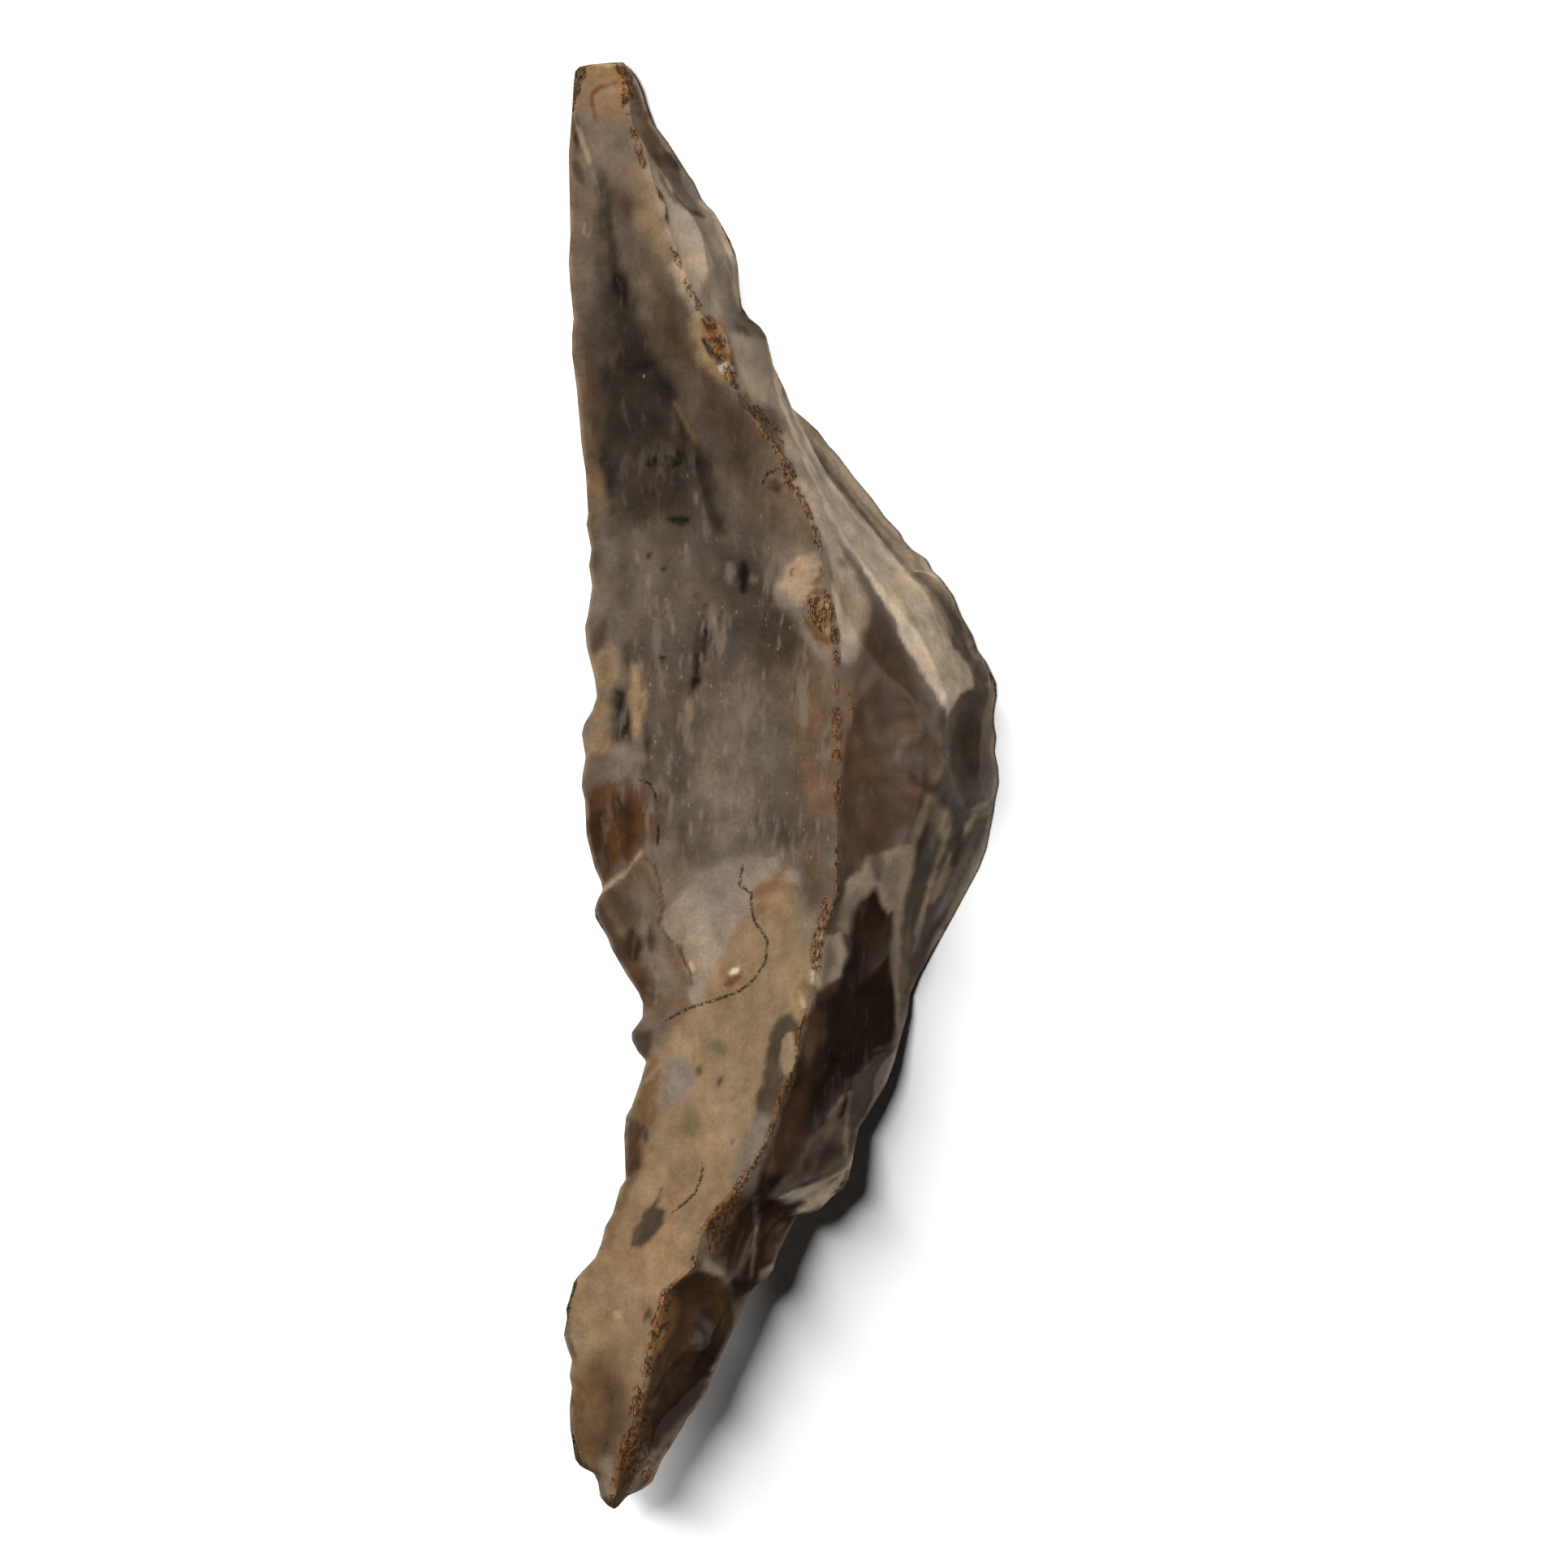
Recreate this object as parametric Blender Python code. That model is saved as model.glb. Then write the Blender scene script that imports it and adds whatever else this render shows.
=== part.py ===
"""A knapped flint sickle blade, one piece of stone, lying on the flat of its underside.

The blade points along Y, its struck upper face looks up, and Z is zero at the resting flat.
Its blank is a loft: two edges, a crest and a shoulder run from tip to tip, and every flake
that was struck off the blank leaves a shallow hollow whose rim is one of the arrises.
"""

from typing import NamedTuple

import bmesh
import bpy
import numpy as np

# Driving dimensions, in metres
LENGTH = 0.150
WIDTH = 0.0451
CREST_HEIGHT = 0.0158
LOWER_TIP_RISE = 0.0095
UPPER_TIP_RISE = 0.0012
EDGE_RISE = 0.0006
WING_RISE = 0.0006
RESTING_FLAT_CUT = 0.00025

# The mesh: rows from tip to tip, and facets across each face
ROWS = 118
LEFT_FACETS = 11
CREST_FACETS = 6
FLANK_FACETS = 5
UNDERSIDE_FACETS = 10
WELD = 0.000001
SHARP_ANGLE = np.radians(24)

# Where the photograph's frame, in pixels, has the outermost points of the blade
PHOTO_LEFT, PHOTO_RIGHT = 695, 1230
PHOTO_TOP, PHOTO_BOTTOM = 77, 1856

# The lines that run from the upper tip to the lower one, (across, down) in the photograph
LEFT_EDGE = (
    (757, 77), (740, 78), (712, 84), (706, 105), (704, 139), (700, 190), (702, 290), (701, 350),
    (706, 392), (704, 430), (710, 480), (716, 550), (722, 590), (724, 633), (728, 677),
    (725, 697), (729, 722), (720, 773), (722, 796), (732, 836), (735, 858), (728, 876),
    (716, 904), (721, 933), (716, 969), (721, 1003), (727, 1048), (742, 1095), (732, 1124),
    (748, 1155), (762, 1185), (786, 1222), (792, 1245), (778, 1275), (796, 1307), (792, 1323),
    (778, 1363), (770, 1390), (771, 1452), (761, 1471), (754, 1494), (741, 1530), (733, 1548),
    (707, 1578), (698, 1610), (695, 1642), (705, 1673), (702, 1735), (709, 1796), (732, 1812),
    (740, 1841), (749, 1853), (757, 1856),
)
CREST = (
    (757, 77), (774, 110), (769, 130), (785, 180), (803, 226), (819, 254), (826, 300),
    (843, 346), (866, 389), (905, 472), (918, 504), (946, 530), (975, 586), (1000, 643),
    (1016, 705), (1027, 770), (1031, 817), (1031, 1103), (1014, 1151), (1005, 1189),
    (998, 1236), (986, 1263), (981, 1302), (956, 1373), (942, 1410), (910, 1460), (863, 1519),
    (856, 1556), (822, 1588), (807, 1630), (798, 1680), (785, 1730), (765, 1796), (757, 1856),
)
SHOULDER = (
    (757, 77), (779, 105), (786, 140), (803, 180), (826, 222), (850, 258), (870, 300),
    (887, 350), (905, 400), (934, 440), (947, 480), (962, 515), (983, 549), (1006, 590),
    (1034, 639), (1072, 690), (1112, 745), (1145, 805), (1167, 860), (1168, 900), (1166, 940),
    (1150, 978), (1128, 1020), (1115, 1060), (1105, 1110), (1099, 1180), (1096, 1240),
    (1080, 1290), (1058, 1325), (1046, 1370), (1036, 1410), (1008, 1440), (978, 1462),
    (948, 1484), (932, 1512), (926, 1542), (908, 1580), (885, 1625), (862, 1668), (842, 1705),
    (815, 1750), (795, 1785), (775, 1825), (757, 1856),
)
RIGHT_EDGE = (
    (757, 77), (770, 78), (782, 95), (797, 134), (806, 156), (837, 200), (853, 223), (863, 245),
    (878, 260), (900, 298), (908, 327), (914, 378), (923, 392), (944, 414), (953, 451),
    (976, 503), (1008, 531), (1030, 558), (1073, 613), (1089, 636), (1122, 676), (1143, 693),
    (1173, 733), (1183, 758), (1203, 800), (1226, 840), (1227, 857), (1223, 880), (1227, 907),
    (1230, 964), (1218, 1027), (1206, 1069), (1168, 1137), (1131, 1204), (1122, 1224),
    (1118, 1250), (1101, 1311), (1092, 1334), (1058, 1389), (1045, 1450), (1027, 1471),
    (1009, 1489), (983, 1495), (956, 1553), (943, 1574), (923, 1591), (910, 1623), (884, 1677),
    (872, 1707), (848, 1743), (832, 1771), (816, 1795), (803, 1824), (773, 1840), (757, 1856),
)

# Thickness of the blank as a share of CREST_HEIGHT, at places down the photograph
CREST_THICKNESS = (
    (77, 0.0), (95, 0.13), (180, 0.27), (380, 0.45), (520, 0.55), (640, 0.65), (760, 0.77),
    (900, 0.91), (1020, 0.98), (1100, 1.0), (1200, 0.99), (1300, 0.92), (1450, 0.72),
    (1560, 0.57), (1680, 0.43), (1796, 0.26), (1842, 0.11), (1856, 0.0),
)
SHOULDER_THICKNESS = (
    (77, 0.0), (95, 0.11), (180, 0.23), (380, 0.36), (520, 0.43), (640, 0.45), (760, 0.47),
    (860, 0.49), (960, 0.50), (1110, 0.45), (1250, 0.36), (1400, 0.35), (1470, 0.42),
    (1600, 0.28), (1750, 0.17), (1842, 0.07), (1856, 0.0),
)
THINNEST_SHARE = 0.22

# The facets start a little outside the outline, on a line that misses its small bites,
# and the rim climbs from the sharp edge to the facet at a slope
FOOT_SPREAD = 80
PROFILE_SPREAD = 60
FOOT_OFFSET = 6
RIM_SLOPE = 1.5
RIM_REACH = 30

# Shares of the way from the upper tip where the underside starts to curve up to each tip,
# and the place and reach, in pixels, of the wing that stands off the table on the right
UPPER_CURVE_START = 0.22
LOWER_CURVE_START, LOWER_CURVE_END = 0.58, 0.87
WING_PLACE = 640
WING_REACH = 230


class Scar(NamedTuple):
    """The hollow that one flake left: place and size in photograph pixels."""

    name: str
    across: float
    down: float
    half_length: float
    half_width: float
    lean: float
    flare: float
    depth: float


# lean turns the foot of the scar to the left, in degrees; flare widens it towards its foot;
# depth is a share of CREST_HEIGHT
LARGE_SCARS = (
    Scar("long upper left facet", 778, 400, 360, 84, -10, 0.35, 0.085),
    Scar("broad middle facet", 876, 800, 360, 168, -4, 0.10, 0.115),
    Scar("lower left facet", 890, 1270, 250, 118, 8, -0.10, 0.085),
    Scar("foot facet", 757, 1660, 170, 48, 3, -0.20, 0.085),
    Scar("strip right of the crest", 860, 300, 130, 32, -27, 0.20, 0.055),
    Scar("wing flute by the shoulder", 1046, 610, 150, 20, -38, 0.30, 0.085),
    Scar("wing flute by the edge", 1110, 730, 150, 26, -36, 0.30, 0.075),
    Scar("pale wing band", 1096, 770, 135, 40, -36, 0.10, 0.075),
    Scar("amber hollow", 1086, 950, 115, 50, 4, 0.0, 0.095),
    Scar("striped flank", 1160, 1100, 130, 40, 24, 0.0, 0.070),
    Scar("dark upper facet", 1056, 1185, 90, 44, 5, 0.0, 0.100),
    Scar("dark lower facet", 1008, 1370, 95, 46, 24, -0.10, 0.130),
    Scar("facet above the foot", 922, 1530, 66, 34, 30, 0.10, 0.080),
    Scar("foot flank", 833, 1725, 84, 30, 28, 0.0, 0.120),
)
SMALL_SCARS = (
    Scar("left edge bite by the tip", 708, 168, 46, 16, 0, 0.0, 0.045),
    Scar("bright facet at the tip", 793, 112, 26, 12, -22, 0.0, 0.050),
    Scar("left edge bite in the middle", 724, 600, 44, 20, 0, 0.0, 0.030),
    Scar("left edge bite under the middle", 722, 940, 60, 40, -6, 0.0, 0.055),
    Scar("left hollow", 762, 1130, 95, 58, -22, 0.10, 0.110),
    Scar("knob bite", 800, 1232, 32, 34, 0, 0.0, 0.060),
    Scar("lower left nick row", 780, 1390, 80, 18, 0, 0.0, 0.045),
    Scar("crescent by the tip", 858, 222, 52, 30, -30, 0.20, 0.085),
    Scar("slivered edge", 893, 290, 48, 14, -24, 0.0, 0.060),
    Scar("crest pit", 889, 432, 42, 15, -26, 0.0, 0.055),
    Scar("notch in the right edge", 928, 384, 26, 22, -40, 0.0, 0.080),
    Scar("shoulder scar", 1206, 925, 84, 38, 0, 0.10, 0.150),
    Scar("edge facet of the dark side", 1086, 1348, 66, 36, 14, 0.0, 0.100),
    Scar("pocket under the lip", 960, 1494, 20, 34, -20, 0.0, 0.090),
    Scar("crest chip", 991, 1228, 22, 13, 6, 0.30, 0.045),
    Scar("round scar", 862, 1612, 50, 44, 14, 0.0, 0.150),
    Scar("last nick", 786, 1816, 26, 16, 30, 0.0, 0.060),
)
UNDERSIDE_SCARS = (
    Scar("nick by the upper tip", 728, 180, 60, 30, -6, 0.0, 0.045),
    Scar("long nick on the wing", 1150, 760, 100, 36, -30, 0.0, 0.055),
    Scar("nick on the shoulder", 1196, 1030, 80, 40, 18, 0.0, 0.060),
    Scar("nick on the left", 742, 880, 90, 34, 0, 0.0, 0.045),
    Scar("nick by the knob", 790, 1300, 90, 30, 0, 0.0, 0.045),
    Scar("nick on the lower right", 1010, 1450, 80, 34, 34, 0.0, 0.055),
    Scar("nick by the lower tip", 724, 1690, 90, 26, 0, 0.0, 0.040),
)


def line(points, down):
    """Read a line of (place, value) points at the given places."""
    places, values = np.array(points, dtype=float).T
    return np.interp(down, places, values)


def run(points, down):
    """Read one of the lines from tip to tip, given (across, down) points."""
    return line([(y, x) for x, y in points], down)


def softened(read, points, down, spread):
    """Read a line as its average over a spread of pixels, so that it has no corners."""
    steps = np.linspace(-spread, spread, 9)
    return sum(read(points, down + step) for step in steps) / len(steps)


def foot(points, down, offset):
    """The smooth foot of the facets along an edge, a little outside it."""
    return softened(run, points, down, FOOT_SPREAD) + offset


def underside(across, down):
    """Height of the plain underside: a slow curve, cut flat where the blade rests."""
    share = (down - PHOTO_TOP) / (PHOTO_BOTTOM - PHOTO_TOP)
    to_upper = np.clip(1 - share / UPPER_CURVE_START, 0, 1)
    to_lower = between(LOWER_CURVE_START, LOWER_CURVE_END, share)
    middle = (foot(LEFT_EDGE, down, 0) + foot(RIGHT_EDGE, down, 0)) / 2
    off_middle = (across - middle) / (PHOTO_RIGHT - PHOTO_LEFT) * 2
    wing = np.exp(-((down - WING_PLACE) / WING_REACH) ** 2) * np.clip(off_middle, 0, 1)
    height = UPPER_TIP_RISE * to_upper ** 2
    height = height + LOWER_TIP_RISE * (0.5 - 0.5 * np.cos(np.pi * to_lower))
    height = height + EDGE_RISE * off_middle ** 2 + WING_RISE * wing ** 2
    return np.maximum(height - RESTING_FLAT_CUT, 0)


def hollows(scars, across, down):
    """Depth of the deepest flake scar at each point; two scars meet in an arris."""
    deepest = np.zeros_like(across)
    for scar in scars:
        lean = np.radians(scar.lean)
        right, below = across - scar.across, down - scar.down
        along = (below * np.cos(lean) - right * np.sin(lean)) / scar.half_length
        beside = (right * np.cos(lean) + below * np.sin(lean)) / scar.half_width
        beside = beside / (1 + scar.flare * np.clip(along, -1, 1))
        depth = scar.depth * CREST_HEIGHT * (1 - along ** 2 - beside ** 2)
        deepest = np.maximum(deepest, depth)
    return deepest


def between(start, end, place):
    """Share of the way from start to end, held between 0 and 1."""
    return np.clip((place - start) / (end - start), 0, 1)


def blank_thickness(across, down):
    """Thickness before any flake came off: three planes between the four lines."""
    crest, shoulder = run(CREST, down), run(SHOULDER, down)
    tall = CREST_HEIGHT * softened(line, CREST_THICKNESS, down, PROFILE_SPREAD)
    low = CREST_HEIGHT * softened(line, SHOULDER_THICKNESS, down, PROFILE_SPREAD)
    rise = between(foot(LEFT_EDGE, down, -FOOT_OFFSET), crest, across) * tall
    fall = tall + (low - tall) * between(crest, np.maximum(shoulder, crest + 1), across)
    drop = low * (1 - between(shoulder, foot(RIGHT_EDGE, down, FOOT_OFFSET), across))
    return np.where(across < crest, rise, np.where(across < shoulder, fall, drop))


def upper_height(across, down):
    """Height of the struck face: the blank less its flakes, closed down to the sharp rim."""
    blank = blank_thickness(across, down)
    struck = blank - hollows(LARGE_SCARS, across, down) - hollows(SMALL_SCARS, across, down)
    from_left, from_right = across - run(LEFT_EDGE, down), run(RIGHT_EDGE, down) - across
    from_edge = np.minimum(from_left, from_right) * WIDTH / (PHOTO_RIGHT - PHOTO_LEFT)
    thickness = np.minimum(np.maximum(struck, THINNEST_SHARE * blank), RIM_SLOPE * from_edge)
    return underside(across, down) + np.maximum(thickness, 0)


def lower_height(across, down):
    """Height of the underside, with the few flakes that came off its edges."""
    plain = underside(across, down)
    left, right = run(LEFT_EDGE, down), run(RIGHT_EDGE, down)
    inside = np.clip(np.minimum(across - left, right - across) / RIM_REACH, 0, 1)
    struck = plain + hollows(UNDERSIDE_SCARS, across, down) * inside
    room = underside(across, down) + 0.5 * (upper_height(across, down) - plain)
    return np.where(plain > 0, np.minimum(struck, room), plain)


def upper_columns(column, down):
    """Places across for a column from 0, the left edge, to 1, the right, through the crest."""
    facets = np.array((LEFT_FACETS, CREST_FACETS, FLANK_FACETS), dtype=float)
    stops = np.concatenate(((0.0,), np.cumsum(facets) / facets.sum()))
    lines = [run(points, down) for points in (LEFT_EDGE, CREST, SHOULDER, RIGHT_EDGE)]
    across = lines[0]
    for first in range(3):
        share = between(stops[first], stops[first + 1], column)
        across = across + (lines[first + 1] - lines[first]) * share
    return across


def lower_columns(column, down):
    """Places across for a column of the underside, evenly from edge to edge."""
    left, right = run(LEFT_EDGE, down), run(RIGHT_EDGE, down)
    return left + (right - left) * column


def rows_down(row):
    """Place of a row down the photograph: the rows stand closer together by the tips."""
    eased = 0.5 - 0.5 * np.cos(np.pi * row)
    return PHOTO_TOP + (PHOTO_BOTTOM - PHOTO_TOP) * (0.55 * row + 0.45 * eased)


def face_sheet(facets, columns, height_of):
    """A grid whose rows run across the blade, moved onto one of its faces."""
    sheet = bmesh.new()
    bmesh.ops.create_grid(sheet, x_segments=facets, y_segments=ROWS, size=1)
    mesh = bpy.data.meshes.new("face")
    sheet.to_mesh(mesh)
    sheet.free()
    places = np.empty(len(mesh.vertices) * 3)
    mesh.vertices.foreach_get("co", places)
    places = places.reshape(-1, 3)
    column = (places[:, 0] + 1) / 2
    down = rows_down((1 - places[:, 1]) / 2)
    across = columns(column, down)
    places[:, 0] = (across - (PHOTO_LEFT + PHOTO_RIGHT) / 2) * WIDTH / (PHOTO_RIGHT - PHOTO_LEFT)
    places[:, 1] = ((PHOTO_TOP + PHOTO_BOTTOM) / 2 - down) * LENGTH / (PHOTO_BOTTOM - PHOTO_TOP)
    places[:, 2] = height_of(across, down)
    mesh.vertices.foreach_set("co", places.ravel())
    return mesh


def flint():
    """The stone: grey-brown outside, half glossy where it broke."""
    material = bpy.data.materials.new("flint")
    material.use_nodes = True
    surface = material.node_tree.nodes["Principled BSDF"]
    surface.inputs["Base Color"].default_value = (0.115, 0.078, 0.050, 1)
    surface.inputs["Roughness"].default_value = 0.42
    surface.inputs["Metallic"].default_value = 0.0
    return material


def flint_blade(collection):
    """Weld the two faces along their rim and set the origin under the middle of the box."""
    upper = face_sheet(LEFT_FACETS + CREST_FACETS + FLANK_FACETS, upper_columns, upper_height)
    lower = face_sheet(UNDERSIDE_FACETS, lower_columns, lower_height)
    body = bmesh.new()
    body.from_mesh(lower)
    bmesh.ops.reverse_faces(body, faces=body.faces)
    body.from_mesh(upper)
    bmesh.ops.remove_doubles(body, verts=body.verts, dist=WELD)
    bmesh.ops.triangulate(body, faces=body.faces)
    mesh = bpy.data.meshes.new("flint_blade")
    corners = np.array([vertex.co for vertex in body.verts])
    middle = (corners.min(axis=0) + corners.max(axis=0)) / 2
    bmesh.ops.translate(body, verts=body.verts, vec=(-middle[0], -middle[1], 0))
    body.to_mesh(mesh)
    body.free()
    for sheet in (upper, lower):
        bpy.data.meshes.remove(sheet)
    mesh.shade_smooth()
    mesh.set_sharp_from_angle(angle=SHARP_ANGLE)
    mesh.materials.append(flint())
    blade = bpy.data.objects.new("flint_blade", mesh)
    collection.objects.link(blade)
    return blade


def main():
    for thing in list(bpy.data.objects):
        bpy.data.objects.remove(thing)
    collection = bpy.data.collections.new("flint_sickle_blade")
    bpy.context.scene.collection.children.link(collection)
    flint_blade(collection)


main()
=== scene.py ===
"""The looks of a knapped flint sickle blade, lying on a pale table and seen from above.

Places on the blade are given as the photograph's pixels, across and down, and are turned into
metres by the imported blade's own box. The blade's surface is a blank between four lines that
run from tip to tip, less the hollow that each struck flake left, as in its solid.
"""

from typing import NamedTuple

import bmesh
import bpy
import numpy as np
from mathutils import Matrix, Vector


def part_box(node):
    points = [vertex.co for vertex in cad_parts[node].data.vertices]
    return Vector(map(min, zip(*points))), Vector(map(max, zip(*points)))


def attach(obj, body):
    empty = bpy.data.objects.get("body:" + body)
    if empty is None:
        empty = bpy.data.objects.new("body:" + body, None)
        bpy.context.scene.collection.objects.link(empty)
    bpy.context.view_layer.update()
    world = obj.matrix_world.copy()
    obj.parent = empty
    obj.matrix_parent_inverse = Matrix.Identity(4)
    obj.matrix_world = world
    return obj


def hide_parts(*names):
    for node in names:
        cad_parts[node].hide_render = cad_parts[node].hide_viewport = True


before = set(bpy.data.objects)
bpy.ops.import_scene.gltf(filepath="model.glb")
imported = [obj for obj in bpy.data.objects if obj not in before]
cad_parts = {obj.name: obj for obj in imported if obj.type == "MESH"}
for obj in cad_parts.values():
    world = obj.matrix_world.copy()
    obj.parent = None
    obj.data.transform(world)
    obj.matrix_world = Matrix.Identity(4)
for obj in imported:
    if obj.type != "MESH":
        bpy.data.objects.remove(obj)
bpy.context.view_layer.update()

LOW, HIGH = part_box("flint_blade")

# The photograph's frame and the blade's outermost points in it, in pixels
PHOTO_SIZE = 1932
PHOTO_LEFT, PHOTO_RIGHT = 695, 1230
PHOTO_TOP, PHOTO_BOTTOM = 77, 1856
PIXEL = (HIGH.y - LOW.y) / (PHOTO_BOTTOM - PHOTO_TOP)

# Heights, in metres, as in the solid
CREST_HEIGHT = 0.0158
LOWER_TIP_RISE = 0.0095
UPPER_TIP_RISE = 0.0012
EDGE_RISE = 0.0006
WING_RISE = 0.0006
RESTING_FLAT_CUT = 0.00025

# The fine mesh: rows from tip to tip, closer together by the tips, and facets across each face
ROWS = 520
TIP_CROWDING = 0.2
LEFT_FACETS = 84
CREST_FACETS = 36
FLANK_FACETS = 28
UNDERSIDE_FACETS = 38
WELD = 0.0000001
SHARP_ANGLE = np.radians(50)

LEFT_EDGE = (
    (757, 77), (740, 78), (715, 81), (708, 88), (706, 105), (704, 139), (702, 165), (700, 190),
    (701, 238), (702, 290), (700, 324), (702, 353), (706, 392), (704, 415), (704, 435),
    (710, 480), (716, 550), (721, 582), (724, 633), (722, 646), (728, 677), (725, 697),
    (729, 722), (724, 756), (720, 773), (722, 796), (732, 836), (735, 858), (729, 876),
    (719, 892), (716, 904), (721, 933), (717, 955), (716, 970), (720, 986), (722, 1029),
    (732, 1069), (740, 1086), (742, 1097), (736, 1108), (732, 1121), (733, 1131), (748, 1155),
    (753, 1169), (772, 1202), (786, 1222), (792, 1236), (791, 1254), (778, 1272), (778, 1281),
    (786, 1296), (796, 1307), (789, 1332), (778, 1363), (771, 1375), (769, 1399), (771, 1452),
    (764, 1462), (755, 1494), (746, 1509), (741, 1530), (734, 1547), (714, 1568), (707, 1578),
    (704, 1591), (698, 1610), (699, 1622), (695, 1642), (699, 1657), (705, 1673), (702, 1692),
    (705, 1707), (702, 1732), (703, 1757), (709, 1795), (716, 1804), (732, 1812), (737, 1823),
    (740, 1841), (749, 1852), (757, 1856),
)
CREST = (
    (757, 77), (774, 110), (769, 130), (785, 180), (803, 226), (819, 254), (826, 300),
    (843, 346), (866, 389), (905, 472), (918, 504), (946, 530), (975, 586), (1000, 643),
    (1016, 705), (1027, 770), (1031, 817), (1031, 1103), (1014, 1151), (1005, 1189),
    (998, 1236), (986, 1263), (981, 1302), (956, 1373), (942, 1410), (910, 1460), (863, 1519),
    (856, 1556), (822, 1588), (807, 1630), (798, 1680), (785, 1730), (765, 1796), (757, 1856),
)
SHOULDER = (
    (757, 77), (779, 105), (786, 140), (803, 180), (826, 222), (850, 258), (870, 300),
    (887, 350), (905, 400), (934, 440), (947, 480), (962, 515), (983, 549), (1006, 590),
    (1034, 639), (1072, 690), (1112, 745), (1145, 805), (1167, 860), (1168, 900), (1166, 940),
    (1150, 978), (1128, 1020), (1115, 1060), (1105, 1110), (1099, 1180), (1098, 1240),
    (1080, 1290), (1058, 1325), (1048, 1370), (1040, 1410), (1014, 1442), (978, 1466),
    (948, 1484), (932, 1512), (926, 1542), (908, 1580), (885, 1625), (862, 1668), (842, 1705),
    (815, 1750), (795, 1785), (775, 1825), (757, 1856),
)
RIGHT_EDGE = (
    (757, 77), (768, 77), (773, 83), (782, 95), (790, 111), (797, 134), (806, 156), (820, 174),
    (837, 200), (846, 214), (853, 223), (863, 244), (870, 253), (878, 260), (889, 278),
    (900, 298), (906, 313), (909, 327), (911, 356), (914, 378), (923, 392), (936, 402),
    (944, 414), (953, 451), (967, 480), (976, 503), (995, 519), (1008, 531), (1020, 548),
    (1030, 558), (1052, 588), (1073, 613), (1089, 636), (1108, 656), (1112, 665), (1122, 676),
    (1137, 685), (1143, 693), (1146, 701), (1157, 711), (1173, 733), (1183, 758), (1197, 782),
    (1203, 800), (1214, 815), (1226, 840), (1227, 857), (1224, 876), (1224, 892), (1227, 907),
    (1225, 926), (1229, 945), (1230, 964), (1226, 984), (1223, 1004), (1215, 1045),
    (1206, 1069), (1194, 1092), (1175, 1128), (1158, 1157), (1131, 1204), (1122, 1224),
    (1118, 1250), (1101, 1311), (1092, 1334), (1076, 1362), (1058, 1389), (1054, 1409),
    (1046, 1450), (1041, 1461), (1027, 1471), (1009, 1489), (996, 1494), (983, 1495),
    (968, 1523), (959, 1541), (952, 1563), (943, 1574), (931, 1582), (923, 1591), (910, 1623),
    (894, 1657), (884, 1677), (868, 1719), (848, 1743), (832, 1771), (816, 1795), (809, 1812),
    (803, 1824), (791, 1832), (773, 1840), (762, 1853), (757, 1856),
)

# Thickness of the blank as a share of CREST_HEIGHT, at places down the photograph
CREST_THICKNESS = (
    (77, 0.0), (95, 0.13), (180, 0.27), (380, 0.45), (520, 0.55), (640, 0.65), (760, 0.77),
    (900, 0.91), (1020, 0.98), (1100, 1.0), (1200, 0.99), (1300, 0.92), (1450, 0.72),
    (1560, 0.57), (1680, 0.43), (1796, 0.26), (1842, 0.11), (1856, 0.0),
)
SHOULDER_THICKNESS = (
    (77, 0.0), (95, 0.11), (180, 0.23), (380, 0.36), (520, 0.43), (640, 0.45), (760, 0.47),
    (860, 0.49), (960, 0.50), (1110, 0.45), (1250, 0.36), (1400, 0.35), (1470, 0.42),
    (1600, 0.28), (1750, 0.17), (1842, 0.07), (1856, 0.0),
)
SPREAD_STEPS = 9
FOOT_SPREAD = 80
PROFILE_SPREAD = 60
# The facets start this many pixels outside the edges; no scar leaves less than this share of
# the blank; the rim rises this steeply, and flakes underneath fade out this close to it
FOOT_OFFSET = 6
THINNEST_SHARE = 0.22
RIM_SLOPE = 1.5
RIM_REACH = 30
ROOM_SHARE = 0.5
# Shares of the way down where the underside starts to curve up, and the reach of the wing's rise
UPPER_CURVE_START = 0.22
LOWER_CURVE_START, LOWER_CURVE_END = 0.58, 0.87
WING_PLACE = 640
WING_REACH = 230


class Scar(NamedTuple):
    """The hollow that one flake left: place and size in pixels, depth a share of the crest."""

    name: str
    across: float
    down: float
    half_length: float
    half_width: float
    lean: float
    flare: float
    depth: float


# lean turns the foot of the scar to the left, in degrees; flare widens it towards its foot
LARGE_SCARS = (
    Scar("long upper left facet", 778, 400, 360, 84, -10, 0.35, 0.085),
    Scar("broad middle facet", 876, 800, 360, 168, -4, 0.10, 0.115),
    Scar("lower left facet", 890, 1270, 250, 118, 8, -0.10, 0.085),
    Scar("foot facet", 757, 1660, 170, 48, 3, -0.20, 0.085),
    Scar("strip right of the crest", 860, 300, 130, 32, -27, 0.20, 0.055),
    Scar("wing flute by the shoulder", 1046, 610, 150, 20, -38, 0.30, 0.085),
    Scar("wing flute by the edge", 1110, 730, 150, 26, -36, 0.30, 0.075),
    Scar("pale wing band", 1096, 770, 135, 40, -36, 0.10, 0.075),
    Scar("amber hollow", 1086, 950, 115, 50, 4, 0.0, 0.095),
    Scar("striped flank", 1160, 1100, 130, 40, 24, 0.0, 0.070),
    Scar("dark upper facet", 1056, 1185, 90, 44, 5, 0.0, 0.100),
    Scar("dark lower facet", 1008, 1370, 95, 46, 24, -0.10, 0.130),
    Scar("facet above the foot", 922, 1530, 66, 34, 30, 0.10, 0.080),
    Scar("foot flank", 833, 1725, 84, 30, 28, 0.0, 0.120),
)
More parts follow.
